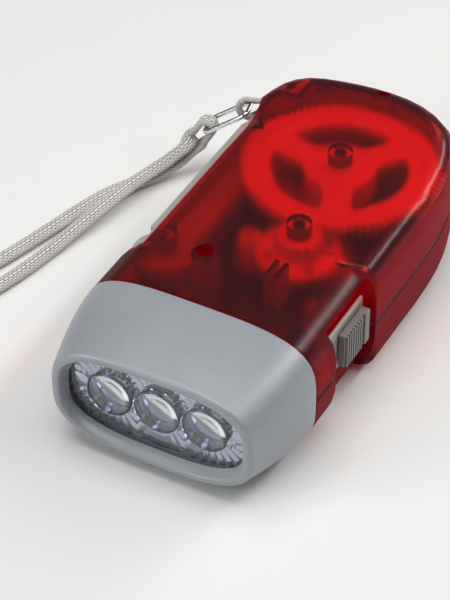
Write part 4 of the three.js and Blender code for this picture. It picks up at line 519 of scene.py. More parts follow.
def on_the_seam(edge):
    """True for an outer edge between a shell's level rim and its upright wall."""
    level = all(abs(vert.co.z - MIDDLE) < SEAM_REACH for vert in edge.verts)
    outside = all(abs(vert.co.x) > CORE_HALF_WIDTH or vert.co.y > CORE_TAIL for vert in edge.verts)
    if not (level and outside and edge.is_convex) or len(edge.link_faces) != 2:
        return False
    rim, wall = sorted(edge.link_faces, key=lambda face: -abs(face.normal.z))
    centre = (edge.verts[0].co + edge.verts[1].co) / 2
    outward = wall.normal.x * centre.x + wall.normal.y * centre.y > 0
    return outward and abs(rim.normal.z) > LEVEL_NORMAL and abs(wall.normal.z) < UPRIGHT_NORMAL


def round_the_seam(shell):
    form = bmesh.new()
    form.from_mesh(shell.data)
    weight = form.edges.layers.float.new("bevel_weight_edge")
    seam = [edge for edge in form.edges if on_the_seam(edge)]
    for edge in seam:
        edge[weight] = 1.0
    form.to_mesh(shell.data)
    form.free()
    rounding = shell.modifiers.new("rounded seam", "BEVEL")
    rounding.width = SEAM_ROUND
    rounding.segments = SEAM_SEGMENTS
    rounding.limit_method = "WEIGHT"
    rounding.use_clamp_overlap = False
    shell.modifiers.move(1, 0)  # the round comes before the weighted normals
    print(shell.name, "seam edges rounded:", len(seam))


# %% Shells, lever and switch
SHELL_SHARP = 50
SWITCH_ROUND = 0.12 * MM
upper = dressed_copy("upper_shell", "shell_upper", sharp_degrees=SHELL_SHARP)
lower = dressed_copy("lower_shell", "shell_lower", sharp_degrees=SHELL_SHARP)
round_the_seam(upper)
round_the_seam(lower)
lever = dressed_copy("squeeze_lever", "lever_moulding")
plate = dressed_copy("switch_plate", "switch_surround", SWITCH_ROUND)
knob = dressed_copy("switch_knob", "switch_thumb_piece", SWITCH_ROUND)

# %% [markdown]
# ## Lamp head
# The head is one grey moulding: a rounded rim, sides that swell back to the shells, a deep lip
# round the window. Its outline is an ellipse with squared corners. It is skinned again here over
# many more points than the CAD needs, so that its highlights run without a facet.

# %% Head sections
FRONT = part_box("head_bezel")[0].y
HALF_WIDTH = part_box("upper_shell")[1].x
RIM_HALF_WIDTH = 21.6 * MM
RIM_HALF_HEIGHT = 11.704 * MM
RIM_EXPONENT = 3
BACK_EXPONENT = 3.5
HEAD_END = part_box("upper_shell")[0].y - GAP - FRONT
HEAD_RING = 192


def head_ring(inset, share, place):
    """The head's outline, drawn in by an inset, at a share of its flare and a place behind its front."""
    flare = sin(share * pi / 2)
    half_width = RIM_HALF_WIDTH + (HALF_WIDTH - RIM_HALF_WIDTH) * flare - inset
    half_height = RIM_HALF_HEIGHT + (MIDDLE - RIM_HALF_HEIGHT) * flare - inset
    power = 2 / (RIM_EXPONENT + (BACK_EXPONENT - RIM_EXPONENT) * share)
    ring = []
    for i in range(HEAD_RING):
        angle = 2 * pi * (i + 0.5) / HEAD_RING
        ring.append(Vector((signed_power(cos(angle), power) * half_width, FRONT + place,
                            MIDDLE + signed_power(sin(angle), power) * half_height)))
    return ring


# %% [markdown]
# ## Bezel
# The rings go round the head's section in one closed run: a small round at the back edge, the
# outside forward to the rim, the rim's round, the lip in to its back, and the inside wall back
# again. The lip's table gives insets from the outline and places behind the front, in millimetres.

# %% Bezel
LIP_LENGTH = 2.5 * MM
SEAT_SHARE = LIP_LENGTH / HEAD_END
LIP_PROFILE = [(1.25, 0), (1.5, 0.08), (1.7, 0.35), (2.1, 1.3), (2.5, 2.38), (2.45, LIP_LENGTH / MM)]
BACK_ROUND = 0.35 * MM
BACK_STEPS = 5
SIDE_STEPS = 24
RIM_ROUND = 0.9 * MM
RIM_STEPS = 8
RIM_SHARE = 0.05
HEAD_WALL = 1.9 * MM
WALL_STEPS = 10
BEZEL_SHARP = 50
rings = []
for i in range(BACK_STEPS):
    angle = pi / 2 * i / BACK_STEPS
    rings.append(head_ring(BACK_ROUND * (1 - sin(angle)), 1, HEAD_END - BACK_ROUND * (1 - cos(angle))))
rings.append(head_ring(0, 1, HEAD_END - BACK_ROUND))
for k in range(SIDE_STEPS - 1, 1, -1):
    rings.append(head_ring(0, k / SIDE_STEPS, HEAD_END * k / SIDE_STEPS))
for i in range(RIM_STEPS + 1):
    angle = pi / 2 * i / RIM_STEPS
    rings.append(head_ring(RIM_ROUND * (1 - cos(angle)), RIM_SHARE * (1 - i / RIM_STEPS),
                           RIM_ROUND * (1 - sin(angle))))
for inset, place in LIP_PROFILE:
    rings.append(head_ring(inset * MM, 0, place * MM))
rings.append(head_ring(HEAD_WALL, SEAT_SHARE, LIP_LENGTH))
for k in range(2, WALL_STEPS + 1):
    rings.append(head_ring(HEAD_WALL, k / WALL_STEPS, HEAD_END * k / WALL_STEPS))
bezel = skin("bezel_moulding", rings, closed=True, sharp_degrees=BEZEL_SHARP)
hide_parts("head_bezel")

# %% [markdown]
# ## Window
# The window is one clear moulding with a bullseye dome before each lamp, which makes the lamp
# look large. Its raised face stands in the head's opening with a narrow moat round it, and a dark
# line in the moat is painted shade for the shadow of the gap round the window. Its front is a fan of
# rings that shrink to the centre, pushed forward where a dome stands. The moat's table gives insets
# and rises in millimetres.

# %% Window
LAMP_NODES = ["led_left", "led_centre", "led_right"]
LAMP_XS = [middle_of(name).x for name in LAMP_NODES]
DOME_RADIUS = 4.9 * MM
DOME_RISE = 1.35 * MM
DOME_SPHERE = (DOME_RADIUS ** 2 + DOME_RISE ** 2) / (2 * DOME_RISE)
WINDOW_INSET = 2.2 * MM
MOAT_PROFILE = [(WINDOW_INSET / MM, 0), (2.85, 0), (2.9, 0.2), (2.97, 0.27), (3.07, 0.3)]
MOAT_RINGS = (1, 2)
FACE_INSET = 3.15 * MM
FACE_RISE = 0.3 * MM
WINDOW_ROWS = 90
WINDOW_SHARP = 28


def dome_depth(x, z):
    """How deep a place on the window lies behind its face: under nothing where a dome stands out."""
    nearest = min(math.hypot(x - lamp, z - MIDDLE) for lamp in LAMP_XS)
    if nearest >= DOME_RADIUS:
        return 0.0
    return DOME_SPHERE - DOME_RISE - math.sqrt(DOME_SPHERE ** 2 - nearest ** 2)


def fan(inset, place, rows, depth):
    """Rings that shrink from the head's outline to its centre, with each point set back by a depth."""
    centre = Vector((0, FRONT + place, MIDDLE))
    outline = head_ring(inset, SEAT_SHARE, place)
    rings = []
    for k in range(rows):
        ring = [centre.lerp(point, 1 - k / rows) for point in outline]
        rings.append([Vector((p.x, p.y + depth(p.x, p.z), p.z)) for p in ring])
    return rings


lens_seat = LIP_LENGTH + GAP
lens_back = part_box("lens")[1].y - FRONT
rings = [head_ring(WINDOW_INSET, SEAT_SHARE, lens_back)]
for inset, rise in MOAT_PROFILE:
    rings.append(head_ring(inset * MM, SEAT_SHARE, lens_seat - rise * MM))
rings += fan(FACE_INSET, lens_seat - FACE_RISE, WINDOW_ROWS, dome_depth)
window = skin("window_moulding", rings, sharp_degrees=WINDOW_SHARP)
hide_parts("lens")

# %% [markdown]
# ## Reflector
# The bright block behind the window has three smooth bowls, and ribs between them like cut
# glass. It is the same fan of rings, pushed back by the depth of the bowls and of the ribs.

# %% Reflector
REFLECTOR_DEPTH = 7.4 * MM
REFLECTOR_ROWS = 110
REFLECTOR_SHARP = 25
BOWL_DEPTH = 6.3 * MM
BOWL_RADIUS = 4.7 * MM
BOWL_CURVE = 1.6
THROAT_RADIUS = 2.8 * MM
RIB_COUNT = 28
RIB_DEPTH = 0.36 * MM


def bowl_depth(x, z):
    """How deep the reflector lies behind its front: smooth bowls, and ribs that fan out from them."""
    lamp = min(LAMP_XS, key=lambda place: math.hypot(x - place, z - MIDDLE))
    reach = math.hypot(x - lamp, z - MIDDLE)
    if reach <= THROAT_RADIUS:
        return BOWL_DEPTH
    if reach < BOWL_RADIUS:
        share = (reach - THROAT_RADIUS) / (BOWL_RADIUS - THROAT_RADIUS)
        return BOWL_DEPTH * (1 - share ** BOWL_CURVE)
    turn = math.atan2(z - MIDDLE, x - lamp) / (2 * pi) * RIB_COUNT
    return RIB_DEPTH * abs(turn % 1.0 - 0.5) * 2


reflector_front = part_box("reflector")[0].y - FRONT
rings = [head_ring(WINDOW_INSET, SEAT_SHARE, reflector_front + REFLECTOR_DEPTH)]
rings += fan(WINDOW_INSET, reflector_front, REFLECTOR_ROWS, bowl_depth)
reflector = skin("reflector_moulding", rings, sharp_degrees=REFLECTOR_SHARP)
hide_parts("reflector")


# %% [markdown]
# ## Lamps
# Each lamp is a 5 mm bullet of clear epoxy. Inside it a small bright cup holds the chip, under a
# yellow drop of phosphor, on one of two flat wires. Each is turned about the lamp's axis from a
# profile of radii and places in millimetres, measured from the lamp's foot.

# %% Lamps
LAMP_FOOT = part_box("led_centre")[1].y
LAMP_SHARP = 40
AXIS_RADIUS = 0.05
FLANGE_RADIUS = 2.7
FLANGE_HEIGHT = 0.9
BULLET_RADIUS = 2.4
BULLET_LENGTH = 6.2
TIP_STEPS = 10
POST_OFFSET = 1.5 * MM

bullet = [(FLANGE_RADIUS, 0), (FLANGE_RADIUS, -FLANGE_HEIGHT), (BULLET_RADIUS, -FLANGE_HEIGHT)]
for i in range(TIP_STEPS):
    angle = pi / 2 * i / TIP_STEPS
    bullet.append((BULLET_RADIUS * cos(angle), BULLET_RADIUS * (1 - sin(angle)) - BULLET_LENGTH))
bullet.append((AXIS_RADIUS, -BULLET_LENGTH))
cup = [(AXIS_RADIUS, -0.2), (0.3, -0.2), (0.3, -2.3), (1.0, -2.5), (1.1, -3.7), (1.0, -3.7), (0.6, -2.9),
       (AXIS_RADIUS, -2.9)]
post = [(AXIS_RADIUS, -0.2), (0.3, -0.2), (0.3, -3.1), (AXIS_RADIUS, -3.1)]
phosphor = [(AXIS_RADIUS, -2.95), (0.58, -2.95), (0.85, -3.4), (0.6, -3.6), (AXIS_RADIUS, -3.65)]


def turned(name, profile, x, sides):
    rings = [circle(Vector((x, LAMP_FOOT + place * MM, MIDDLE)), X_AXIS, UP, radius * MM, sides)
             for radius, place in profile]
    return skin(name, rings, sharp_degrees=LAMP_SHARP)


lamp_bullets, lamp_metal, lamp_drops = [], [], []
for name, x in zip(LAMP_NODES, LAMP_XS):
    lamp_bullets.append(turned(name + "_epoxy", bullet, x, sides=40))
    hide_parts(name)
    lamp_metal.append(turned(name + "_cup", cup, x, sides=24))
    lamp_metal.append(turned(name + "_post", post, x + POST_OFFSET, sides=12))
    lamp_drops.append(turned(name + "_phosphor", phosphor, x, sides=24))

# %% [markdown]
# ## Return spring
# The spring is round bright wire, wound on the lever's hub, with one leg on the lever and one on
# a stop. Its coil climbs about the pivot, so both are a run of points with wire laid along them.

# %% Return spring
PIVOT = middle_of("lever_pivot_pin")
SPRING_SEAT = 2.3 * MM
SPRING_RADIUS = 3.7 * MM
SPRING_PITCH = 1.3 * MM
SPRING_TURNS = 5.25
SPRING_STEPS = 36
SPRING_WIRE_RADIUS = 0.4 * MM
SPRING_SIDES = 12
SHORT_LEG = 7.6 * MM
LONG_LEG = 15 * MM
spring_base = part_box("squeeze_lever")[0].z + SPRING_SEAT
spring_points = [Vector((PIVOT.x + reach, PIVOT.y - SPRING_RADIUS, spring_base))
                 for reach in (SHORT_LEG, SHORT_LEG / 2)]
for i in range(round(SPRING_TURNS * SPRING_STEPS) + 1):
    angle = math.radians(-90 - 360 * i / SPRING_STEPS)
    spring_points.append(Vector((PIVOT.x + SPRING_RADIUS * cos(angle),
                                 PIVOT.y + SPRING_RADIUS * sin(angle),
                                 spring_base + SPRING_PITCH * i / SPRING_STEPS)))
spring_points.append(Vector((PIVOT.x - SPRING_RADIUS, PIVOT.y + LONG_LEG,
                             spring_base + SPRING_PITCH * SPRING_TURNS)))
spring = wire("spring_wire", spring_points, SPRING_WIRE_RADIUS, SPRING_SIDES, UP)
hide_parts("return_spring")

# %% [markdown]
# ## Coil
# The generator's coil is enamelled copper wire, turn beside turn round a square bobbin. Only the
# outer layer shows, so one layer of thicker wire stands for the many fine ones under it.

# %% Coil
coil_low, coil_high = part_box("coil_winding")
COIL_WIRE_RADIUS = 0.16 * MM
COIL_TURNS = 22
COIL_STEPS = 32
COIL_SIDES = 8
COIL_SQUARENESS = 0.35
coil_middle = middle_of("coil_winding")
coil_reach = (coil_high.x - coil_low.x) / 2 - COIL_WIRE_RADIUS
coil_run = coil_high.y - coil_low.y - 2 * COIL_WIRE_RADIUS
coil_points = []
for i in range(COIL_TURNS * COIL_STEPS + 1):
    angle = 2 * pi * i / COIL_STEPS
    coil_points.append(Vector((
        coil_middle.x + signed_power(cos(angle), COIL_SQUARENESS) * coil_reach,
        coil_low.y + COIL_WIRE_RADIUS + coil_run * i / (COIL_TURNS * COIL_STEPS),
        coil_middle.z + signed_power(sin(angle), COIL_SQUARENESS) * coil_reach,
    )))
coil = wire("coil_wire", coil_points, COIL_WIRE_RADIUS, COIL_SIDES, Y_AXIS)
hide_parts("coil_winding")


# %% [markdown]
# ## Shadows through clear walls
# Light that comes in through a clear wall is slow to trace. So for shadow rays a clear material
# is a plain filter of a given colour, and every other ray sees the true shader. For the clear
# plastics that colour is their own; the red shells' filters are painted light and shade.

# %% Ending of a clear material
def clear_surface(tree, true_shader, filter_colour):
    plain_filter = add_node(tree, "ShaderNodeBsdfTransparent", {"Color": linear(filter_colour)})
    rays = add_node(tree, "ShaderNodeLightPath")
    mixed = add_node(tree, "ShaderNodeMixShader", {},
                     {0: rays.outputs["Is Shadow Ray"], 1: true_shader, 2: plain_filter.outputs["BSDF"]})
    add_node(tree, "ShaderNodeOutputMaterial", {}, {"Surface": mixed.outputs["Shader"]})


# %% [markdown]
# ## Clear red plastic
# The shells are injection-moulded polystyrene with a red dye, about 1.6 mm thick, smooth outside
# and finely matt inside, which blurs what lies behind. Most of the surface is a plain rough
# refraction. It mirrors nothing, because a mirror of the pale floor would wash the deep red out.
# The rest is a glass-like shader under a softly glossy coat, which draws the highlights. Light
# crosses two faces of a wall, so each face of the plain part has the square root of the colour.
#
# Dyed plastic also scatters a little light, and the eye meets more of it looking along the upright
# walls than on top. That is painted light here: a red diffuse haze is mixed in by how upright the
# surface stands, lighter crimson on the upright walls and only a trace of a paler one on top. The
# lower half is a darker copy of the same red, painted shade, so the empty places between the gears
# stay dark; the upper half's shadow filter is paler than its red, painted light, so the white gears glow.

# %% Red shells
POLYSTYRENE_IOR = 1.59
PLAIN_SHARE = 0.88
SHELL_GRAIN_MM = 0.357
SHELL_FLOW_MM = 8.33
ROUGHNESS_SPREAD = 0.03


def clear_red(name, light, deep, filter_colour, matt_inside):
    material, tree, coordinates = new_material(name)
    texture = add_node(tree, "ShaderNodeTexNoise",
                       {"Scale": noise_scale(SHELL_GRAIN_MM), "Detail": 3.0, "Roughness": 0.55},
                       {"Vector": coordinates["Object"]})
    flow = add_node(tree, "ShaderNodeTexNoise", {"Scale": noise_scale(SHELL_FLOW_MM), "Detail": 2.0},
                    {"Vector": coordinates["Object"]})
    tint = add_node(tree, "ShaderNodeValToRGB", links={"Fac": flow.outputs["Fac"]},
                    ramp=[(0.3, deep), (0.75, light)])
    matt = add_node(tree, "ShaderNodeMapRange",
                    {"From Min": 0.3, "From Max": 0.7,
                     "To Min": matt_inside - ROUGHNESS_SPREAD, "To Max": matt_inside + ROUGHNESS_SPREAD},
                    {"Value": flow.outputs["Fac"]})
    bump = add_node(tree, "ShaderNodeBump", {"Strength": 0.06, "Distance": 0.03 * MM},
                    {"Height": texture.outputs["Fac"]})
    glassy = add_node(tree, "ShaderNodeBsdfPrincipled",
                      {"IOR": POLYSTYRENE_IOR, "Transmission Weight": 1.0,
                       "Coat Weight": 1.0, "Coat Roughness": 0.2, "Coat IOR": 1.6},
                      {"Base Color": tint.outputs["Color"], "Roughness": matt.outputs["Result"],
                       "Normal": bump.outputs["Normal"]})
    one_face = add_node(tree, "ShaderNodeGamma", {"Gamma": 0.5}, {"Color": tint.outputs["Color"]})
    plain = add_node(tree, "ShaderNodeBsdfRefraction", {"IOR": POLYSTYRENE_IOR},
                     {"Color": one_face.outputs["Color"], "Roughness": matt.outputs["Result"],
                      "Normal": bump.outputs["Normal"]})
    calmer = add_node(tree, "ShaderNodeMixShader", {0: PLAIN_SHARE},
                      {1: glassy.outputs["BSDF"], 2: plain.outputs["BSDF"]})
    # Painted light: the diffuse haze's share and tone follow how upright the surface stands, lighter crimson
    # on the upright walls.
    facing = add_node(tree, "ShaderNodeSeparateXYZ", links={"Vector": coordinates["Normal"]})
    level = add_node(tree, "ShaderNodeMath", links={0: facing.outputs["Z"]}, operation="ABSOLUTE")
    painted_glow_share = add_node(tree, "ShaderNodeMapRange",
                          {"From Min": 0.75, "From Max": 0.15, "To Min": 0.025, "To Max": 0.32},
                          {"Value": level.outputs["Value"]})
    painted_glow_tone = add_node(tree, "ShaderNodeValToRGB", links={"Fac": level.outputs["Value"]},
                         ramp=[(0.3, "#cc0e2a"), (0.8, "#b08a92")])
    painted_glow = add_node(tree, "ShaderNodeBsdfDiffuse", {}, {"Color": painted_glow_tone.outputs["Color"]})
    with_painted_glow = add_node(tree, "ShaderNodeMixShader", {},
                    {0: painted_glow_share.outputs["Result"], 1: calmer.outputs["Shader"], 2: painted_glow.outputs["BSDF"]})
    clear_surface(tree, with_painted_glow.outputs["Shader"], filter_colour)
    return material


def give(material, *pieces):
    for piece in pieces:
        piece.data.materials.clear()
        piece.data.materials.append(material)


# Painted light and shade: the upper shell's shadow filter is far paler than its red, letting more light onto
# the gears, and the lower shell is a darker copy of the same red with a darker filter, keeping the places
# between the gears dark.
give(clear_red("lit_clear_red_polystyrene", "#cc2a2a", "#c22426", "#f49a94", 0.24), upper)
give(clear_red("shaded_clear_red_polystyrene", "#8c1a22", "#7c141c", "#a8484a", 0.2), lower)


# %% [markdown]
# ## Opaque mouldings
# The head, the lever and the switch are ABS. The head's grey holds a little metal pigment, which
# gives it a soft satin. The lever and the switch's surround are a plain light grey with a fine
# spark-eroded texture, and the thumb piece is a darker grey of the same kind. The gears are
# natural acetal, slightly waxy, and the rotor's magnet is pressed ferrite, dark and dull. One
# function makes these from their colours, texture size in millimetres and roughness. Real spark
# texture is about 0.05 mm across, too fine to show, so it is drawn a few times coarser. The same
# grain gives the gloss and the relief, and that ending serves the metals too.

# %% Moulded plastics
CLOUD_MM = 11.1


def opaque_surface(tree, tones, grain, roughness, relief, settings):
    """The end of an opaque material, with two limits of roughness, and relief as strength and depth."""
    gloss = add_node(tree, "ShaderNodeMapRange",
                     {"From Min": 0.3, "From Max": 0.7, "To Min": roughness[0], "To Max": roughness[1]},
                     {"Value": grain.outputs["Fac"]})
    bump = add_node(tree, "ShaderNodeBump", {"Strength": relief[0], "Distance": relief[1]},
                    {"Height": grain.outputs["Fac"]})
    shader = add_node(tree, "ShaderNodeBsdfPrincipled", settings,
                      {"Base Color": tones.outputs["Color"], "Roughness": gloss.outputs["Result"],
                       "Normal": bump.outputs["Normal"]})
    add_node(tree, "ShaderNodeOutputMaterial", {}, {"Surface": shader.outputs["BSDF"]})


def moulded_plastic(name, dark, light, grain_mm, roughness, relief, metallic=0.0, waxy=0.0, ior=1.54):
    material, tree, coordinates = new_material(name)
    grain = add_node(tree, "ShaderNodeTexNoise",
                     {"Scale": noise_scale(grain_mm), "Detail": 3.0, "Roughness": 0.6},
                     {"Vector": coordinates["Object"]})
    cloud = add_node(tree, "ShaderNodeTexNoise", {"Scale": noise_scale(CLOUD_MM), "Detail": 3.0},
                     {"Vector": coordinates["Object"]})
    blend = add_node(tree, "ShaderNodeMix", {"Factor": 0.35},
                     {"A": cloud.outputs["Fac"], "B": grain.outputs["Fac"]})
    tones = add_node(tree, "ShaderNodeValToRGB", links={"Fac": blend.outputs["Result"]},
                     ramp=[(0.35, dark), (0.65, light)])
    opaque_surface(tree, tones, grain, (roughness - 0.05, roughness + 0.07), (relief, 0.04 * MM),
                   {"IOR": ior, "Metallic": metallic,
                    "Subsurface Weight": waxy, "Subsurface Scale": 1.5 * MM})
    return material


def cad_pieces(*names):
    return [frame["nodes"][name] for name in names]


give(moulded_plastic("moulded_silver_grey_abs", "#94989e", "#9fa3a9", 0.25, 0.38, 0.10, metallic=0.12),
     bezel)
give(moulded_plastic("spark_textured_grey_abs", "#989a95", "#a6a8a2", 0.2, 0.45, 0.25), plate, lever)
give(moulded_plastic("spark_textured_mid_grey_abs", "#6e706c", "#7d7f79", 0.2, 0.42, 0.25), knob)
give(moulded_plastic("natural_white_acetal", "#efece4", "#f8f5ee", 0.3, 0.35, 0.08, waxy=0.1, ior=1.48),
     *cad_pieces("main_gear", "drive_pinion", "second_gear", "rotor_pinion", "coil_bobbin"))
give(moulded_plastic("pressed_ferrite", "#232224", "#323134", 0.12, 0.55, 0.3),
     *cad_pieces("rotor_magnet"))


# %% [markdown]
# ## Metals
# Pins and the spring are bright drawn steel with fine lines along them, and the case screws are
# steel under black oxide. The link is nickel and chrome plated, the reflector's bowls are plastic
# with a film of aluminium, the core is a stack of stamped sheets about half a millimetre thick,
# and the coil is enamelled copper. The switch's can is stamped from the same kind of sheet. The
# noise is stretched along one axis for drawn lines, and along two for sheets.

# %% Metal finishes
EVEN = (1, 1, 1)
DRAWN_LINES = (1, 1, 0.1)
SHEETS = (0.05, 0.05, 1)


def plain_metal(name, dark, light, grain_mm, roughness, relief, stretch=EVEN):
    material, tree, coordinates = new_material(name)
    mapping = add_node(tree, "ShaderNodeMapping", {"Scale": stretch},
                       {"Vector": coordinates["Object"]})
    grain = add_node(tree, "ShaderNodeTexNoise", {"Scale": noise_scale(grain_mm), "Detail": 4.0},
                     {"Vector": mapping.outputs["Vector"]})
    tones = add_node(tree, "ShaderNodeValToRGB", links={"Fac": grain.outputs["Fac"]},
                     ramp=[(0.3, dark), (0.7, light)])
    opaque_surface(tree, tones, grain, (roughness * 0.7, roughness * 1.3), (relief, 0.02 * MM),
                   {"Metallic": 1.0})
    return material


give(plain_metal("bright_drawn_steel", "#a9acb0", "#c3c6ca", 0.1, 0.24, 0.1, DRAWN_LINES), spring,
     *cad_pieces("main_axle", "second_axle", "lever_pivot_pin", "rotor_axle", "strap_pin"))
give(plain_metal("black_oxide_screw_steel", "#26272a", "#3a3b3e", 0.1, 0.4, 0.1),
     *cad_pieces("case_screw_front", "case_screw_tail"))
give(plain_metal("chrome_plated_wire", "#d4d7da", "#e2e4e6", 0.3, 0.14, 0.03), link)
give(plain_metal("vacuum_metallised_aluminium", "#b4b7ca", "#c4c7d8", 0.4, 0.08, 0.03),
     reflector, *lamp_metal)
give(plain_metal("enamelled_copper_wire", "#a8512c", "#c8703e", 0.2, 0.25, 0.05), coil)
give(plain_metal("stamped_steel_laminations", "#77797c", "#a2a4a7", 0.5, 0.4, 0.5, SHEETS),
     *cad_pieces("stator_core", "switch_body"))


# %% [markdown]
# ## Clear plastics
# The window is clear polystyrene, polished on both sides, and the lamps are cast epoxy. Both are
# nearly perfect glass to the eye. Faint ripples from moulding, a few millimetres long, keep their
# reflections alive.

# %% Clear finishes
def clear_plastic(name, colour, ior, roughness, ripple_mm, relief):
    material, tree, coordinates = new_material(name)
    ripple = add_node(tree, "ShaderNodeTexNoise", {"Scale": noise_scale(ripple_mm), "Detail": 1.0},
                      {"Vector": coordinates["Object"]})
    polish = add_node(tree, "ShaderNodeMapRange",
                      {"From Min": 0.35, "From Max": 0.65,
                       "To Min": roughness * 0.5, "To Max": roughness * 1.5},
                      {"Value": ripple.outputs["Fac"]})
    bump = add_node(tree, "ShaderNodeBump", {"Strength": relief, "Distance": 0.05 * MM},
                    {"Height": ripple.outputs["Fac"]})
    shader = add_node(tree, "ShaderNodeBsdfPrincipled",
                      {"Base Color": linear(colour), "IOR": ior, "Transmission Weight": 1.0},
                      {"Roughness": polish.outputs["Result"], "Normal": bump.outputs["Normal"]})
    clear_surface(tree, shader.outputs["BSDF"], "#f4f6f6")
    return material


give(clear_plastic("polished_clear_polystyrene", "#f3f6f8", POLYSTYRENE_IOR, 0.03, 2.5, 0.05), window)
give(clear_plastic("cast_clear_epoxy", "#f4f6f2", 1.53, 0.04, 1.5, 0.05), *lamp_bullets)

# %% [markdown]
# ## Phosphor, painted shadow line, boards and battery
# The lamp's phosphor is a powder in resin, matt and yellow. The dark line in the moat is painted
# shade for the gap round the window, given to the faces of the moat's floor alone. Circuit boards
# are glass-fibre laminate under a green lacquer, and the battery wears a shrunk blue sleeve. All
# are dense and opaque, so the function for mouldings makes them too.

# %% Small opaque finishes
give(moulded_plastic("yellow_phosphor_drop", "#d8b64c", "#ecd06a", 0.05, 0.6, 0.3), *lamp_drops)
give(moulded_plastic("green_lacquered_board", "#20583a", "#2f6f48", 0.8, 0.3, 0.15),
     *cad_pieces("led_board", "circuit_board"))
give(moulded_plastic("shrunk_blue_sleeve", "#2c4272", "#395389", 1.2, 0.3, 0.2),
     *cad_pieces("battery_pack"))
# Painted shade: a dark line on the moat's floor stands for the shadow of the gap round the window.
window.data.materials.append(moulded_plastic("painted_shadow_line", "#1d1e20", "#292a2c", 0.3, 0.5, 0.2))
for face in window.data.polygons:
    if all(point // HEAD_RING in MOAT_RINGS for point in face.vertices):
        face.material_index = 1

# %% [markdown]
# ## Braid finish
# Polyester yarn is white with a grey cast, soft, and lit a little from its own fibres, so it
# gets a sheen. Each yarn is a bundle of filaments about 0.02 mm across, too fine to show, so
# their grain is drawn several times coarser. The hollows between yarns get painted shade, darker
# from the height that the mesh carries. Faint soiling in wider patches keeps the strap from looking new.

# %% Braid material
FILAMENT_MM = 0.119
SOIL_MM = 3.85
polyester_braid, tree, coordinates = new_material("woven_polyester_braid")
height = add_node(tree, "ShaderNodeAttribute", attribute_name="yarn_height")
fibres = add_node(tree, "ShaderNodeTexNoise", {"Scale": noise_scale(FILAMENT_MM), "Detail": 2.0},
                  {"Vector": coordinates["Object"]})
soil = add_node(tree, "ShaderNodeTexNoise", {"Scale": noise_scale(SOIL_MM), "Detail": 3.0},
                {"Vector": coordinates["Object"]})
# Painted shade: the lower a point's yarn height, the darker its colour; the soil noise is real dirt taken off
# the same value.
shade = add_node(tree, "ShaderNodeMapRange", {"From Min": 0.1, "From Max": 0.85},
                 {"Value": height.outputs["Fac"]})
soiled = add_node(tree, "ShaderNodeMath", {1: 0.2}, {0: soil.outputs["Fac"]}, operation="MULTIPLY")
depth = add_node(tree, "ShaderNodeMath", {}, {0: shade.outputs["Result"], 1: soiled.outputs["Value"]},
                 operation="SUBTRACT")
yarn_tones = add_node(tree, "ShaderNodeValToRGB", links={"Fac": depth.outputs["Value"]},
                      ramp=[(0.0, "#5f5b58"), (0.85, "#dedad6")])
fuzz = add_node(tree, "ShaderNodeBump", {"Strength": 0.35, "Distance": 0.04 * MM},
                {"Height": fibres.outputs["Fac"]})
yarn_shader = add_node(tree, "ShaderNodeBsdfPrincipled",
                       {"Roughness": 0.85, "Sheen Weight": 0.3, "Sheen Roughness": 0.5, "IOR": 1.5},
                       {"Base Color": yarn_tones.outputs["Color"], "Normal": fuzz.outputs["Normal"]})
add_node(tree, "ShaderNodeOutputMaterial", {}, {"Surface": yarn_shader.outputs["BSDF"]})
give(polyester_braid, strap, fold, tether)

# %% [markdown]
# ## Floor
# The torch lies on a plain pale floor, which takes its shadow. Far from the torch the lamps no
# longer reach, so there the eye, a mirror or a clear piece sees the floor's own tone. The blend
# grows with the distance from the torch and leaves every other ray alone, so no light is added.

# %% Floor
FLOOR_HALF_SIZE = 3
FLOOR_GAP = 0.2 * MM
FLOOR_TONE = "#ebebe9"
LIT_RADIUS = 0.2
FAR_RADIUS = 0.7
corners = [(x * FLOOR_HALF_SIZE, y * FLOOR_HALF_SIZE, 0) for x, y in ((-1, -1), (1, -1), (1, 1), (-1, 1))]
floor_mesh = bpy.data.meshes.new("floor")
floor_mesh.from_pydata(corners, [], [(0, 1, 2, 3)])
floor = new_object("floor", floor_mesh)
floor.location.z = -FLOOR_GAP
satin_floor, tree, coordinates = new_material("pale_satin_floor")
satin = add_node(tree, "ShaderNodeBsdfPrincipled",
                 {"Base Color": linear(FLOOR_TONE), "Roughness": 0.45, "IOR": 1.45})
far_tone = add_node(tree, "ShaderNodeEmission", {"Color": linear(FLOOR_TONE), "Strength": 1.0})
distance = add_node(tree, "ShaderNodeVectorMath", {}, {0: coordinates["Object"]}, operation="LENGTH")
far = add_node(tree, "ShaderNodeMapRange", {"From Min": LIT_RADIUS, "From Max": FAR_RADIUS},
               {"Value": distance.outputs["Value"]}, interpolation_type="SMOOTHSTEP")
rays = add_node(tree, "ShaderNodeLightPath")
direct = add_node(tree, "ShaderNodeMath", {},
                  {0: rays.outputs["Is Camera Ray"], 1: rays.outputs["Is Glossy Ray"]}, operation="MAXIMUM")
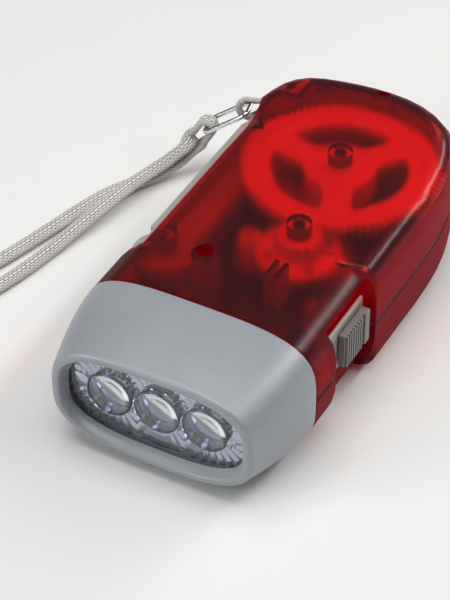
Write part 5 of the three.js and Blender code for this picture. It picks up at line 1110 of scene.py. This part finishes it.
seen = add_node(tree, "ShaderNodeMath", {},
                {0: direct.outputs["Value"], 1: rays.outputs["Is Transmission Ray"]}, operation="MAXIMUM")
far_and_seen = add_node(tree, "ShaderNodeMath", {},
                        {0: far.outputs["Result"], 1: seen.outputs["Value"]}, operation="MULTIPLY")
blended = add_node(tree, "ShaderNodeMixShader", {},
                   {0: far_and_seen.outputs["Value"], 1: satin.outputs["BSDF"],
                    2: far_tone.outputs["Emission"]})
add_node(tree, "ShaderNodeOutputMaterial", {}, {"Surface": blended.outputs["Shader"]})
floor.data.materials.append(satin_floor)


# %% [markdown]
# ## Light
# A large soft lamp hangs above, as a studio tent would, and a smaller one fills from the left.
# Two strips on the right draw the highlights along the head and the shell's rounded edge. A
# strip's roll turns it about its own aim, to lie along the edge that it lights.

# %% Lamps and world
WORLD_STRENGTH = 0.14


def soft_lamp(name, place, aim, size, power, roll_degrees=0):
    data = bpy.data.lights.new(name, "AREA")
    data.shape = "RECTANGLE"
    data.size, data.size_y = size
    data.energy = power
    lamp = new_object(name, data)
    lamp.location = place
    turn = (Vector(aim) - Vector(place)).to_track_quat("-Z", "Y")
    lamp.rotation_euler = (turn @ Quaternion((0, 0, 1), math.radians(roll_degrees))).to_euler()
    print("lamp:", name, power, "W")


soft_lamp("overhead softbox", place=(-0.05, -0.1, 0.8), aim=(0, 0, 0), size=(0.7, 0.5), power=3.7)
soft_lamp("right strip", place=(0.45, 0.08, 0.66), aim=(0, 0, 0.02), size=(0.12, 0.6), power=0.9)
soft_lamp("edge strip", place=(0.31, 0.5, 0.45), aim=(0, 0, 0.02), size=(0.07, 0.8), power=2.6,
          roll_degrees=48)
soft_lamp("front fill", place=(-0.5, -0.6, 0.4), aim=(0, 0, 0.01), size=(0.5, 0.4), power=2.7)
world = bpy.data.worlds.new("studio")
world.use_nodes = True
world.node_tree.nodes["Background"].inputs["Color"].default_value = linear("#e6e7e8")
world.node_tree.nodes["Background"].inputs["Strength"].default_value = WORLD_STRENGTH
bpy.context.scene.world = world
bpy.context.scene.view_settings.view_transform = "Standard"
